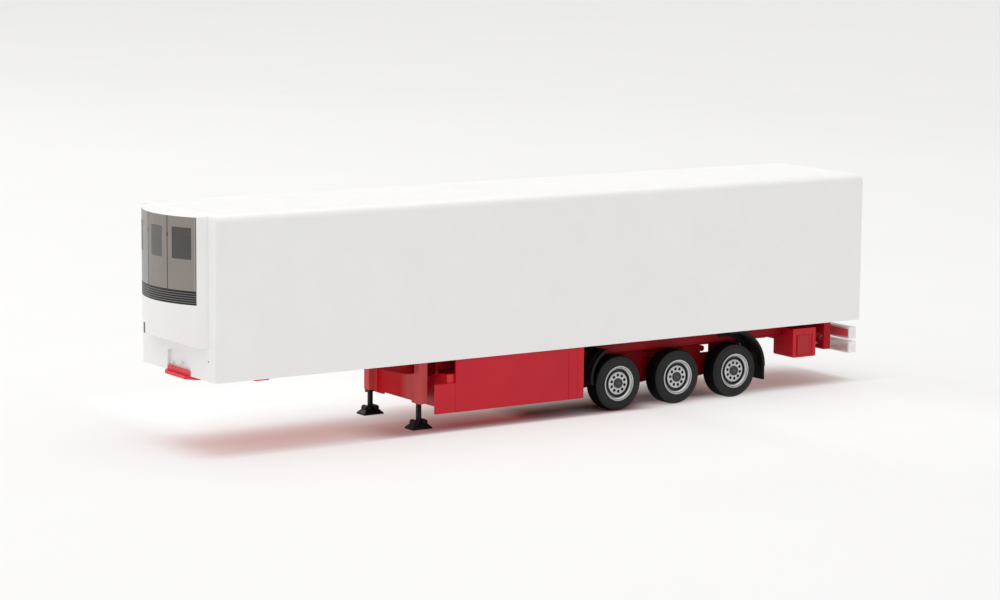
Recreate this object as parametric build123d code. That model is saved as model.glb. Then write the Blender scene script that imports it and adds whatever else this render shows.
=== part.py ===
from build123d import *
import math
import os

# A plastic scale model of a three-axle refrigerated semi trailer. Millimetres.
# X runs forward to the kingpin end, Y to the left side, Z up from the ground.
# The origin lies on the ground under the middle of the whole length.

# Box moulding
box_length = 156.2
box_width = 29.7
box_height = 31.3
box_underside = 14.05
box_wall = 1.0
roof_edge_radius = 1.5
front_edge_radius = 0.35
hose_recess_depth = 0.6
hose_recess_right = 4.3
hose_recess_left = 5.0
hose_recess_crest = 2.4
hose_recess_right_height = 3.85
hose_recess_crest_height = 4.9
hose_recess_left_height = 1.1

# Cooling unit on the front wall
unit_depth = 5.0
unit_flank_depth = 1.8
unit_face_width = 22.2
unit_foot_width = 24.4
unit_bottom = 20.3
unit_top = 45.1
unit_edge_chamfer = 0.2
unit_underside_rise = 1.6

# Rear doors
door_thickness = 1.0
door_recess = 0.15
door_hardware_depth = 0.45
door_gap_width = 0.25
door_gap_depth = 0.3
lock_rod_width = 0.6
lock_rod_crest = 0.3
lock_rod_offsets = (3.6, 9.2)
lock_handle_height = 20.5
lock_handle_length = 3.4
lock_handle_thickness = 0.5
keeper_width = 1.2
keeper_height = 1.0
hinge_count = 4
hinge_width = 1.8
hinge_height = 0.8
hinge_margin = 4.0

# Floor and frame
floor_thickness = 0.8
frame_web = 0.7
frame_flange_width = 0.9
frame_flange_thickness = 0.4
frame_drop_start = 38.0
frame_drop_end = 46.0
neck_depth = 1.3
frame_depth = 3.3
tail_depth = 2.2
tail_start_inset = 20.2
tail_end_inset = 14.2
cross_member_first = 41.0
cross_member_pitch = 12.2
cross_member_thickness = 0.7
cross_member_inset = 0.3

# Coupling plate and kingpin
plate_thickness = 0.65
plate_nose_reach = 0.78
plate_nose_width = 8.0
plate_neck_width = 12.4
plate_chamfer_length = 1.5
plate_rear = 35.0
plate_rear_width = 18.0
plate_flare_start = 13.0
plate_flare_end = 18.0
bearer_start = 9.6
bearer_end = 12.6
bearer_inset = 2.15
kingpin_station = 18.4
kingpin_radius = 1.0
kingpin_length = 1.9
kingpin_boss_radius = 2.6
kingpin_boss_thickness = 0.2
nose_block_height = 0.9
nose_block_reach = 0.1

# Side rails under the box edge
side_rail_clearance = 0.17
side_rail_thickness = 0.6
side_rail_depth = 2.7
side_rail_ledge_height = 0.25
side_rail_ledge_depth = 0.1
outrigger_depth = 0.9
outrigger_thickness = 0.7
outrigger_first = 56.0
outrigger_pitch = 13.0

# Landing gear
leg_width = 0.8
leg_setback = 0.7
leg_inset = 0.65
leg_housing_front = 47.4
leg_housing_length = 1.9
leg_housing_width = 1.88
leg_housing_gap = 0.7
leg_housing_underside = 5.0
leg_socket_depth = 1.6
leg_fit = 0.02
gear_plate_thickness = 0.5
gear_plate_underside = 4.95
gear_tab_underside = 4.55
gear_tab_width = 3.15
foot_length = 4.5
foot_width = 3.1
foot_edge = 0.3
foot_top_length = 3.0
foot_top_width = 1.9
foot_height = 1.0
foot_roller_radius = 0.6
foot_roller_height = 1.25
foot_roller_width = 1.7
foot_roller_spacing = 2.0
foot_roller_sides = 16

# Side covers and pallet boxes
cover_inset = 0.4
cover_thickness = 0.55
cover_front_left = 48.7
cover_front_right = 49.9
cover_step = 53.4
cover_axle_gap = 8.97
cover_underside = 3.5
cover_step_height = 9.4
cover_step_relief = 0.1
cover_seam_insets = (1.5, 3.7)
cover_seam_width = 0.12
cover_seam_depth = 0.05
pallet_box_front = 51.7
pallet_box_rear_gap = 0.9
pallet_box_underside = 4.0
pallet_box_width = 8.3
pallet_box_shoulder_width = 5.6
pallet_box_crest_width = 1.4
pallet_box_rail_gap = 0.25
pallet_box_crest_drop = 0.7
pallet_box_chamfer_drop = 4.0
pallet_box_pin = 0.5
fit_gap = 0.05

# Wheels and axles
axle_last_inset = 33.25
axle_pitch = 14.94
axle_count = 3
wheel_radius = 5.684
wheel_inset = 0.48
tyre_width = 4.2
tyre_shoulder_radius = 0.55
tyre_shoulder_drop = 0.25
tyre_seat_clearance = 0.02
rim_radius = 3.606
rim_flange_width = 0.75
rim_disc_radius = 2.35
rim_disc_recess = 0.45
rim_groove_recess = 1.0
rim_hub_radius = 1.0
rim_hub_rise = 0.35
rim_hub_sides = 20
hand_hole_count = 10
hand_hole_sides = 6
hand_hole_radius = 0.24
hand_hole_circle = 1.68
hand_hole_depth = 0.35
axle_radius = 0.75
axle_seat_clearance = 0.02
axle_running_clearance = 0.05
axle_seat_depth = 2.4
axle_seat_sides = 12

# Suspension
suspension_rail_gap = 0.3
suspension_thickness = 1.2
hanger_lead = 7.5
hanger_top_length = 4.6
hanger_bottom_length = 1.5
hanger_underside = 4.2
gusset_depth = 2.1
window_lead = 5.2
window_length = 2.95
window_drop = 1.65
window_height = 1.85
pivot_radius = 0.65
pivot_sides = 8
pivot_drop = 0.6
pivot_setback = 0.45
arm_height = 1.1
arm_tail = 4.3
bearing_radius = 1.5
bearing_sides = 12
bellows_radius = 1.2
bellows_sides = 12

# Mudguards
guard_thickness = 0.48
guard_inset = 0.45
guard_lip_height = 0.15
guard_lip_width = 0.25
guard_lip_pitch = 1.4
front_guard_lead = 0.63
front_guard_rise = 1.376
front_guard_clearance = 0.226
front_guard_underside = 5.95
front_guard_reach = 2.5
guard_stay_thickness = 0.5
rear_guard_lead = 0.09
rear_guard_rise = 0.416
rear_guard_clearance = 1.766
rear_guard_reach = 1.4
rear_flap_underside = 3.2
rear_skirt_depth = 1.1
rear_skirt_thickness = 0.3
rear_skirt_end_angle = 160.0

# Toolbox on the left rear
toolbox_inset = 17.3
toolbox_length = 6.2
toolbox_depth = 6.5
toolbox_underside = 6.95
toolbox_corner = 0.35
toolbox_door_margin_x = 0.9
toolbox_door_low = 0.45
toolbox_door_high = 1.45
toolbox_door_depth = 0.15
toolbox_latch_width = 0.6
toolbox_latch_rise = 0.1

# Rear beam and bars
rear_beam_inset = 8.8
rear_beam_length = 1.75
rear_beam_underside = 8.1
rear_beam_bay_height = 2.7
rear_beam_bottom_flange = 0.5
rear_beam_end_wall = 0.7
rear_beam_bay_count = 4
rear_beam_rib = 0.5
rear_beam_brace_setback = 0.3
bar_front_inset = 1.9
bar_rear_overhang = 0.2
lamp_bar_underside = 9.75
lamp_bar_height = 2.5
underrun_underside = 6.7
underrun_height = 2.45
bar_wall = 0.4
lamp_width = 1.7
lamp_height = 1.2
lamp_rise = 0.15
lamp_insets = (1.65, 3.65, 5.65)
bracket_offset = 6.6
bracket_thickness = 0.8
bracket_foot_depth = 3.2
bracket_foot_length = 1.2

# Worked out from the sizes above: heights
box_top = box_underside + box_height
plate_underside = box_underside - plate_thickness
frame_deep_z = box_underside - frame_depth
outrigger_underside = box_underside - outrigger_depth
side_rail_underside = box_underside - side_rail_depth
suspension_beam_underside = frame_deep_z - fit_gap
toolbox_top = outrigger_underside - fit_gap
pallet_box_top = side_rail_underside - pallet_box_rail_gap

# Worked out: distances from the centre line, from the box inwards
half_width = box_width / 2
inner_half_width = half_width - box_wall
floor_half_width = inner_half_width - fit_gap
cover_outer_offset = half_width - cover_inset
cover_inner_offset = cover_outer_offset - cover_thickness
guard_outer_offset = half_width - guard_inset
wheel_outer_offset = half_width - wheel_inset
wheel_inner_offset = wheel_outer_offset - tyre_width
side_rail_outer = wheel_inner_offset - side_rail_clearance
side_rail_inner = side_rail_outer - side_rail_thickness
side_rail_middle = (side_rail_outer + side_rail_inner) / 2
guard_inner_offset = side_rail_outer + fit_gap
suspension_outer = side_rail_inner - suspension_rail_gap
suspension_inner = suspension_outer - suspension_thickness
frame_outer = suspension_inner - fit_gap
frame_web_middle = frame_outer - frame_flange_width / 2
frame_web_inner = frame_web_middle - frame_web / 2
leg_housing_inner = frame_outer + leg_housing_gap
leg_housing_outer = leg_housing_inner + leg_housing_width
leg_offset = leg_housing_inner + leg_inset

# Worked out: distances behind the front wall
leg_station = leg_housing_front + leg_setback
rear_beam_front = box_length - rear_beam_inset
bar_front = box_length - bar_front_inset
tail_start = box_length - tail_start_inset
tail_end = box_length - tail_end_inset
axle_first = box_length - axle_last_inset - axle_pitch * (axle_count - 1)
cover_rear = axle_first - cover_axle_gap
frame_front = plate_rear + fit_gap
cross_member_reach = rear_beam_front - cross_member_first - cross_member_thickness - fit_gap
cross_member_count = 1 + int(cross_member_reach / cross_member_pitch)
outrigger_reach = rear_beam_front - outrigger_first - outrigger_thickness - fit_gap
outrigger_count = 1 + int(outrigger_reach / outrigger_pitch)

# Worked out: X of the front wall and of the doors' two faces
front_wall_x = (box_length + door_hardware_depth - unit_depth) / 2
door_outer_x = front_wall_x - box_length + door_recess
door_inner_x = door_outer_x + door_thickness


def station(distance):
    """X of a point that lies this far behind the front wall."""
    return front_wall_x - distance


def axle_station(number):
    """Distance of an axle behind the front wall, counted from the front."""
    return axle_first + axle_pitch * number


def block(x_range, y_range, z_range):
    """A plain block between two values on each axis."""
    ranges = (x_range, y_range, z_range)
    size = [abs(high - low) for low, high in ranges]
    centre = [(low + high) / 2 for low, high in ranges]
    return Pos(*centre) * Box(*size)


def side_profile(outline, y_range):
    """An outline of X and Z values, given its thickness along Y."""
    low, high = min(y_range), max(y_range)
    wire = Polyline([(x, low, z) for x, z in outline], close=True)
    return extrude(make_face(wire), amount=high - low, dir=(0, 1, 0))


def plan_profile(outline, z_range):
    """An outline of X and Y values, given its thickness along Z."""
    low, high = min(z_range), max(z_range)
    wire = Polyline([(x, y, low) for x, y in outline], close=True)
    return extrude(make_face(wire), amount=high - low, dir=(0, 0, 1))


def front_profile(outline, x_range):
    """An outline of Y and Z values, given its thickness along X."""
    low, high = min(x_range), max(x_range)
    wire = Polyline([(low, y, z) for y, z in outline], close=True)
    return extrude(make_face(wire), amount=high - low, dir=(1, 0, 0))


def rod_along_y(radius, x, z, y_range):
    """A round rod along Y."""
    low, high = min(y_range), max(y_range)
    return Pos(x, (low + high) / 2, z) * Rot(90, 0, 0) * Cylinder(radius, high - low)


def prism_along_y(flat_radius, sides, x, z, y_range):
    """A many-sided rod along Y, its flats this far from the axis."""
    low, high = min(y_range), max(y_range)
    shape = RegularPolygon(flat_radius, sides, major_radius=False)
    return Pos(x, low, z) * Rot(-90, 0, 0) * extrude(shape, amount=high - low)


def turned_along_y(outline, x, z):
    """An outline of radius and Y values, turned about the wheel's axis."""
    wire = Polyline([(radius, y, 0) for radius, y in outline], close=True)
    return Pos(x, 0, z) * revolve(make_face(wire), Axis.Y)


def right_hand(piece):
    """The same piece on the right side."""
    return mirror(piece, about=Plane.XZ)


# Box moulding: roof, two sides and front wall in one, open below and behind
def box_body():
    outer = block((station(box_length), station(0)), (-half_width, half_width), (box_underside, box_top))
    roof_edges = outer.edges().filter_by(Axis.X).group_by(Axis.Z)[-1]
    outer = fillet(roof_edges, roof_edge_radius)
    front_posts = outer.edges().filter_by(Axis.Z).group_by(Axis.X)[-1]
    outer = fillet(front_posts, front_edge_radius)
    inside = block(
        (station(box_length) - box_wall, station(box_wall)),
        (-inner_half_width, inner_half_width),
        (box_underside - box_wall, box_top - box_wall),
    )
    hose_recess = front_profile(
        [
            (-hose_recess_right, box_underside - 1),
            (-hose_recess_right, box_underside + hose_recess_right_height),
            (hose_recess_crest, box_underside + hose_recess_crest_height),
            (hose_recess_left, box_underside + hose_recess_left_height),
            (hose_recess_left, box_underside - 1),
        ],
        (station(hose_recess_depth), station(-1)),
    )
    return outer - inside - hose_recess


# Rear doors: one plate with both leaves, their lock rods and hinges moulded on
def rear_doors():
    leaf_half_width = inner_half_width - fit_gap
    top = box_top - box_wall - fit_gap
    plate = block((door_outer_x, door_inner_x), (-leaf_half_width, leaf_half_width), (box_underside, top))
    gap_x = (door_outer_x - 1, door_outer_x + door_gap_depth)
    plate -= block(gap_x, (-door_gap_width / 2, door_gap_width / 2), (box_underside - 1, top + 1))
    hardware_x = station(box_length) - door_hardware_depth
    rod_height = top - box_underside
    for offset in lock_rod_offsets:
        for side in (-1, 1):
            y = side * offset
            rod_shoulder_x = hardware_x + (lock_rod_width - lock_rod_crest) / 2
            rod_outline = [
                (door_outer_x + fit_gap, y - lock_rod_width / 2),
                (rod_shoulder_x, y - lock_rod_width / 2),
                (hardware_x, y - lock_rod_crest / 2),
                (hardware_x, y + lock_rod_crest / 2),
                (rod_shoulder_x, y + lock_rod_width / 2),
                (door_outer_x + fit_gap, y + lock_rod_width / 2),
            ]
            plate += plan_profile(rod_outline, (box_underside, top))
            for keeper_z in (box_underside, top - keeper_height):
                plate += block(
                    (hardware_x + fit_gap, door_outer_x + fit_gap),
                    (y - keeper_width / 2, y + keeper_width / 2),
                    (keeper_z, keeper_z + keeper_height),
                )
            handle_y = (y, y - side * lock_handle_length)
            plate += block(
                (hardware_x + fit_gap, door_outer_x + fit_gap),
                handle_y,
                (lock_handle_height, lock_handle_height + lock_handle_thickness),
            )
    hinge_step = (rod_height - 2 * hinge_margin) / (hinge_count - 1)
    for number in range(hinge_count):
        hinge_z = box_underside + hinge_margin + number * hinge_step
        for side in (-1, 1):
            plate += block(
                (station(box_length) - fit_gap, door_outer_x + fit_gap),
                (side * leaf_half_width, side * (leaf_half_width - hinge_width)),
                (hinge_z - hinge_height / 2, hinge_z + hinge_height / 2),
            )
    return plate


# Floor plate that closes the box from below
def floor_plate():
    return block(
        (door_inner_x + fit_gap, station(box_wall + fit_gap)),
        (-floor_half_width, floor_half_width),
        (box_underside, box_underside + floor_thickness),
    )


# Cooling unit: bowed front, slanted flanks, undercut below
def cooling_unit():
    face_half = unit_face_width / 2
    foot_half = unit_foot_width / 2
    flank_x = station(-unit_flank_depth)
    crown = (station(-unit_depth), 0, unit_bottom)
    right_corner = (flank_x, -face_half, unit_bottom)
    left_corner = (flank_x, face_half, unit_bottom)
    bow = ThreePointArc(right_corner, crown, left_corner)
    sides = Polyline(
        left_corner,
        (station(0), foot_half, unit_bottom),
        (station(0), -foot_half, unit_bottom),
        right_corner,
    )
    body = extrude(make_face(bow + sides), amount=unit_top - unit_bottom, dir=(0, 0, 1))
    top_edges = body.edges().group_by(Axis.Z)[-1].filter_by(lambda edge: edge.center().X > station(-0.01))
    body = chamfer(top_edges, unit_edge_chamfer)
    undercut = side_profile(
        [
            (station(-unit_flank_depth), unit_bottom - 1),
            (station(-unit_flank_depth), unit_bottom),
            (station(-unit_depth - 1), unit_bottom + unit_underside_rise),
            (station(-unit_depth - 1), unit_bottom - 1),
        ],
        (-half_width, half_width),
    )
    return body - undercut


# Frame: two flanged rails that drop behind the neck, with cross members between
def frame_outline(lift):
    """Side outline of a frame rail, with its lower edge raised by lift."""
    neck_z = box_underside - neck_depth + lift
    deep_z = frame_deep_z + lift
    tail_z = box_underside - tail_depth + lift
    return [
        (station(frame_front), box_underside),
        (station(frame_front), neck_z),
        (station(frame_drop_start), neck_z),
        (station(frame_drop_end), deep_z),
        (station(tail_start), deep_z),
        (station(tail_end), tail_z),
        (station(rear_beam_front), tail_z),
        (station(rear_beam_front), box_underside),
    ]


def frame_rail():
    web_y = frame_web_middle
    web = side_profile(frame_outline(0), (web_y - frame_web / 2, web_y + frame_web / 2))
    flange_y = (web_y - frame_flange_width / 2, web_y + frame_flange_width / 2)
    flange = side_profile(frame_outline(0), flange_y)
    flange -= side_profile(frame_outline(frame_flange_thickness), flange_y)
    return web + flange


def cross_members():
    half = frame_web_inner - fit_gap
    members = []
    for number in range(cross_member_count):
        place = cross_member_first + number * cross_member_pitch
        depth = neck_depth if place < frame_drop_end else frame_depth
        depth = tail_depth if place > tail_start else depth
        members.append(
            block(
                (station(place), station(place + cross_member_thickness)),
                (-half, half),
                (box_underside - depth + frame_flange_thickness + cross_member_inset, box_underside),
            )
        )
    return Compound(children=members)


# Coupling plate: nose under the front wall, cross bearer and kingpin
def coupling_plate():
    nose = plate_nose_width / 2
    neck = plate_neck_width / 2
    rear = plate_rear_width / 2
    bearer = half_width - bearer_inset
    left_edge = [
        (station(-plate_nose_reach), nose),
        (station(-plate_nose_reach + plate_chamfer_length), neck),
        (station(bearer_start), neck),
        (station(bearer_start), bearer),
        (station(bearer_end), bearer),
        (station(bearer_end), neck),
        (station(plate_flare_start), neck),
        (station(plate_flare_end), rear),
        (station(plate_rear), rear),
    ]
    outline = left_edge + [(x, -y) for x, y in reversed(left_edge)]
    plate = plan_profile(outline, (plate_underside, box_underside))
    plate += block(
        (station(hose_recess_depth - fit_gap), station(-nose_block_reach)),
        (fit_gap - hose_recess_right, hose_recess_left - fit_gap),
        (box_underside, box_underside + nose_block_height),
    )
    boss = Cylinder(kingpin_boss_radius, kingpin_boss_thickness)
    pin = Cylinder(kingpin_radius, kingpin_length)
    pin_x = station(kingpin_station)
    plate += Pos(pin_x, 0, plate_underside - kingpin_boss_thickness / 2) * boss
    plate += Pos(pin_x, 0, plate_underside - kingpin_boss_thickness - kingpin_length / 2) * pin
    return plate


# Side rail with a ledge along its foot, and its outriggers
def side_rail():
    rail_x = (station(rear_beam_front), station(pallet_box_front))
    rail = block(rail_x, (side_rail_inner, side_rail_outer), (side_rail_underside, box_underside))
    rail -= block(
        rail_x,
        (side_rail_outer - side_rail_ledge_depth, side_rail_outer),
        (side_rail_underside + side_rail_ledge_height, outrigger_underside),
    )
    for number in range(outrigger_count):
        place = outrigger_first + number * outrigger_pitch
        rail += block(
            (station(place), station(place + outrigger_thickness)),
            (frame_outer, side_rail_middle),
            (outrigger_underside, box_underside),
        )
    return rail


# Landing gear: two leg housings and the cross plate between their rear edges
def landing_gear_frame():
    front_x = station(leg_housing_front)
    rear_x = station(leg_housing_front + leg_housing_length)
    plate_x = (rear_x, rear_x + gear_plate_thickness)
    tab_y = leg_housing_inner - gear_tab_width
    outline = [
        (leg_housing_inner, box_underside),
        (leg_housing_inner, gear_tab_underside),
        (tab_y, gear_tab_underside),
        (tab_y, gear_plate_underside),
    ]
    outline += [(-y, z) for y, z in reversed(outline)]
    frame = front_profile(outline, plate_x)
    for side in (-1, 1):
        rail_y = side * frame_web_middle
        frame -= block(
            (rear_x - 1, front_x),
            (rail_y - frame_flange_width / 2 - fit_gap, rail_y + frame_flange_width / 2 + fit_gap),
            (frame_deep_z - fit_gap, box_top),
        )
    for side in (-1, 1):
        housing = block(
            (rear_x, front_x),
            (side * leg_housing_inner, side * leg_housing_outer),
            (leg_housing_underside, box_underside),
        )
        leg_y = side * leg_offset
        socket_half = leg_width / 2 + leg_fit
        socket = block(
            (station(leg_station) - socket_half, station(leg_station) + socket_half),
            (leg_y - socket_half, leg_y + socket_half),
            (leg_housing_underside - 1, leg_housing_underside + leg_socket_depth),
        )
        frame += housing - socket
    return frame


# Landing leg: square shaft on a tapered foot with two rollers
def landing_leg():
    x, y = station(leg_station), leg_offset
    shaft_top = leg_housing_underside + leg_socket_depth - leg_fit
    shaft = block(
        (x - leg_width / 2, x + leg_width / 2),
        (y - leg_width / 2, y + leg_width / 2),
        (foot_edge, shaft_top),
    )
    pad = Pos(x, y, foot_edge / 2) * Box(foot_length, foot_width, foot_edge)
    lower = Pos(x, y, foot_edge) * Rectangle(foot_length, foot_width)
    upper = Pos(x, y, foot_height) * Rectangle(foot_top_length, foot_top_width)
    foot = pad + loft([lower, upper])
    for side in (-1, 1):
        foot += prism_along_y(
            foot_roller_radius,
            foot_roller_sides,
            x + side * foot_roller_spacing / 2,
            foot_roller_height,
            (y - foot_roller_width / 2, y + foot_roller_width / 2),
        )
    return foot + shaft


# Side cover: stepped panel flush under the box edge
def side_cover(cover_front):
    outline = [
        (station(cover_front), cover_underside),
        (station(cover_front), cover_step_height),
        (station(cover_step), cover_step_height),
        (station(cover_step), box_underside),
        (station(cover_rear), box_underside),
        (station(cover_rear), cover_underside),
    ]
    panel = side_profile(outline, (cover_inner_offset, cover_outer_offset))
    relief = block(
        (station(cover_step), station(cover_front) + 1),
        (cover_outer_offset - cover_step_relief, cover_outer_offset + 1),
        (cover_underside - 1, cover_step_height + 1),
    )
    panel -= relief
    for inset in cover_seam_insets:
        seam_x = station(cover_rear - inset)
        panel -= block(
            (seam_x - cover_seam_width / 2, seam_x + cover_seam_width / 2),
            (cover_outer_offset - cover_seam_depth, cover_outer_offset + 1),
            (cover_underside - 1, box_underside + 1),
        )
    return panel


# Pallet box behind the cover, with its upper inner edge cut off at a slant
def pallet_box():
    """The box, and a pin near each end that reaches up to the side rail."""
    inner_y = cover_inner_offset - pallet_box_width
    shoulder_z = pallet_box_top - pallet_box_crest_drop
    outline = [
        (inner_y, pallet_box_underside),
        (inner_y, pallet_box_top - pallet_box_chamfer_drop),
        (cover_inner_offset - pallet_box_shoulder_width, shoulder_z),
        (cover_inner_offset - pallet_box_crest_width, pallet_box_top),
        (cover_inner_offset, pallet_box_top),
        (cover_inner_offset, pallet_box_underside),
    ]
    rear_x = station(cover_rear - pallet_box_rear_gap)
    box = front_profile(outline, (rear_x, station(pallet_box_front)))
    pin_y = (side_rail_middle - pallet_box_pin / 2, side_rail_middle + pallet_box_pin / 2)
    pin_z = (shoulder_z - pallet_box_pin, side_rail_underside - fit_gap)
    for end_x in (station(pallet_box_front), rear_x + pallet_box_pin):
        box += block((end_x - pallet_box_pin, end_x), pin_y, pin_z)
    return box


# Suspension side: beam with hangers, trailing arms, bearings and air bellows
def hanger(axle_place):
    """Hanger ahead of an axle, filled back to the axle, with a gusset behind."""
    middle = axle_place - hanger_lead
    gusset_z = suspension_beam_underside - gusset_depth
    return side_profile(
        [
            (station(middle - hanger_top_length / 2), suspension_beam_underside),
            (station(middle - hanger_bottom_length / 2), hanger_underside),
            (station(middle + hanger_bottom_length / 2), hanger_underside),
            (station(axle_place), wheel_radius - arm_height / 2),
            (station(axle_place), gusset_z),
            (station(axle_place + arm_tail), gusset_z),
            (station(axle_place + arm_tail), suspension_beam_underside),
        ],
        (suspension_inner, suspension_outer),
    )


def hanger_window(axle_place):
    """Opening through the gusset, partly closed by the round end of the pivot."""
    front = axle_place - window_lead
    low = suspension_beam_underside - window_drop
    window = block(
        (station(front + window_length), station(front)),
        (suspension_inner - 1, suspension_outer + 1),
        (low, low + window_height),
    )
    pivot_z = suspension_beam_underside - pivot_drop
    pivot = extrude(RegularPolygon(pivot_radius, pivot_sides), amount=suspension_thickness + 2)
    return window - Pos(station(front + pivot_setback), suspension_inner - 1, pivot_z) * Rot(-90, 0, 0) * pivot


def suspension():
    y_range = (suspension_inner, suspension_outer)
    middle_y = (suspension_inner + suspension_outer) / 2
    first, last = axle_station(0), axle_station(axle_count - 1)
    side = block(
        (station(last + arm_tail + bellows_radius), station(first - hanger_lead - hanger_top_length / 2)),
        y_range,
        (suspension_beam_underside, outrigger_underside - fit_gap),
    )
    for number in range(axle_count):
        place = axle_station(number)
        side += hanger(place)
        side -= hanger_window(place)
        side += block(
            (station(place + arm_tail), station(place - hanger_lead)),
            y_range,
            (wheel_radius - arm_height / 2, wheel_radius + arm_height / 2),
        )
        side += prism_along_y(bearing_radius, bearing_sides, station(place), wheel_radius, y_range)
        bellows_height = suspension_beam_underside - wheel_radius
        bellows = extrude(RegularPolygon(bellows_radius, bellows_sides), amount=bellows_height)
        side += Pos(station(place + arm_tail), middle_y, wheel_radius) * bellows
        side -= prism_along_y(
            axle_radius + axle_running_clearance,
            bearing_sides,
            station(place),
            wheel_radius,
            (suspension_inner - 1, suspension_outer + 1),
        )
    return side


# Mudguards: an arc before the first axle, one with a flap behind the last
def arc_sheet(centre, radii, angles, y_range):
    """A sheet bent round an arc about Y, between two angles in radians from +X."""
    low, high = y_range
    start, end = angles

    def point(reach, angle):
        return (centre[0] + reach * math.cos(angle), low, centre[1] + reach * math.sin(angle))

    middle = (start + end) / 2
    inner, outer = radii
    outer_arc = ThreePointArc(point(outer, start), point(outer, middle), point(outer, end))
    inner_arc = ThreePointArc(point(inner, start), point(inner, middle), point(inner, end))
    ends = Line(point(outer, start), point(inner, start)) + Line(point(outer, end), point(inner, end))
    return extrude(make_face(outer_arc + inner_arc + ends), amount=high - low, dir=(0, 1, 0))


def guard(centre, inner_radius, angles, addition):
    """A mudguard with two raised lips and its flap or stay, cut off under the box."""
    radius = inner_radius + guard_thickness
    piece = arc_sheet(centre, (inner_radius, radius), angles, (guard_inner_offset, guard_outer_offset))
    piece += addition
    for lip_end in (guard_outer_offset, guard_outer_offset - guard_lip_pitch):
        lip_radii = (inner_radius, radius + guard_lip_height)
        piece += arc_sheet(centre, lip_radii, angles, (lip_end - guard_lip_width, lip_end))
    reach = 2 * radius
    above = block((centre[0] - reach, centre[0] + reach), (0, box_width), (box_underside, box_top))
    return piece - above


def front_mudguard():
    """The front guard, with a stay from its crown up to the box."""
    centre = (station(axle_first - front_guard_lead), wheel_radius + front_guard_rise)
    inner_radius = wheel_radius + front_guard_clearance
    radius = inner_radius + guard_thickness
    low_angle = math.asin((front_guard_underside - centre[1]) / radius)
    top_angle = math.acos(front_guard_reach / radius)
    stay_foot = centre[1] + inner_radius * math.sin(top_angle)
    stay = block(
        (centre[0] + front_guard_reach, centre[0] + 2 * front_guard_reach),
        (guard_inner_offset, guard_inner_offset + guard_stay_thickness),
        (stay_foot - guard_thickness, box_underside),
    )
    wheel_arch = rod_along_y(inner_radius, centre[0], centre[1], (0, box_width))
    return guard(centre, inner_radius, (low_angle, top_angle), stay - wheel_arch)


def rear_mudguard():
    last = axle_station(axle_count - 1)
    centre = (station(last - rear_guard_lead), wheel_radius + rear_guard_rise)
    inner_radius = wheel_radius + rear_guard_clearance
    radius = inner_radius + guard_thickness
    flap_x = centre[0] - radius
    flap = block(
        (flap_x, flap_x + guard_thickness),
        (guard_inner_offset, guard_outer_offset),
        (rear_flap_underside, centre[1]),
    )
    front_angle = math.acos(rear_guard_reach / radius)
    skirt = arc_sheet(
        centre,
        (inner_radius - rear_skirt_depth, radius - guard_thickness / 2),
        (front_angle, math.radians(rear_skirt_end_angle)),
        (guard_inner_offset, guard_inner_offset + rear_skirt_thickness),
    )
    return guard(centre, inner_radius, (front_angle, math.pi), flap + skirt)


# Toolbox under the left side
def toolbox():
    front = box_length - toolbox_inset
    x_range = (station(front + toolbox_length), station(front))
    outer = floor_half_width
    case = block(x_range, (outer - toolbox_depth, outer), (toolbox_underside, toolbox_top))
    case = fillet(case.edges().filter_by(Axis.Y).group_by(Axis.Z)[0], toolbox_corner)
    door = block(
        (x_range[0] + toolbox_door_margin_x, x_range[1] - toolbox_door_margin_x),
        (outer - toolbox_door_depth, outer + 1),
        (toolbox_underside + toolbox_door_low, toolbox_top - toolbox_door_high),
    )
    rail_slot = block(
        (x_range[0] - 1, x_range[1] + 1),
        (side_rail_inner - fit_gap, side_rail_outer + fit_gap),
        (side_rail_underside - fit_gap, toolbox_top + 1),
    )
    frame_corner = block(
        (x_range[0] - 1, x_range[1] + 1),
        (0, frame_outer + fit_gap),
        (frame_deep_z - fit_gap, toolbox_top + 1),
    )
    middle_x = (x_range[0] + x_range[1]) / 2
    door_top = toolbox_top - toolbox_door_high
    latch = block(
        (middle_x - toolbox_latch_width / 2, middle_x + toolbox_latch_width / 2),
        (outer - 2 * toolbox_door_depth, outer - toolbox_door_depth + toolbox_latch_rise),
        (door_top - toolbox_latch_width, door_top),
    )
    return case - door - rail_slot - frame_corner + latch


# Rear beam: open bays with crossed braces between its flanges
def rear_cross_beam():
    front = station(rear_beam_front)
    rear = front - rear_beam_length
    half = floor_half_width
    beam = block((rear, front), (-half, half), (rear_beam_underside, box_underside))
    bays_y = half - rear_beam_end_wall
    bays_low = rear_beam_underside + rear_beam_bottom_flange
    bays_high = bays_low + rear_beam_bay_height
    beam -= block((rear - 1, front + 1), (-bays_y, bays_y), (bays_low, bays_high))
    bay = 2 * bays_y / rear_beam_bay_count
    half_rib = rear_beam_rib / 2
    limits = block((rear, front), (-bays_y, bays_y), (bays_low, bays_high))
    brace_x = (rear + rear_beam_brace_setback, front - rear_beam_brace_setback)
    for number in range(rear_beam_bay_count):
        left = -bays_y + number * bay
        right = left + bay
        if number > 0:
            beam += block(brace_x, (left - half_rib, left + half_rib), (bays_low, bays_high))
        for start, end in ((left, right), (right, left)):
            brace = [
                (start - half_rib, bays_low),
                (start + half_rib, bays_low),
                (end + half_rib, bays_high),
                (end - half_rib, bays_high),
            ]
            beam += front_profile(brace, brace_x) & limits
    return beam


# Rear bars: red web inside the lamp bar, lamp bar and underrun bar
def bar_channel(underside, height):
    """A channel bar, open to the front, closed at its ends."""
    front = station(bar_front)
    rear = station(box_length + bar_rear_overhang)
    bar = block((rear, front), (-inner_half_width, inner_half_width), (underside, underside + height))
    hollow = block(
        (rear + bar_wall, front + 1),
        (-inner_half_width + bar_wall, inner_half_width - bar_wall),
        (underside + bar_wall, underside + height - bar_wall),
    )
    return bar - hollow


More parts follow.
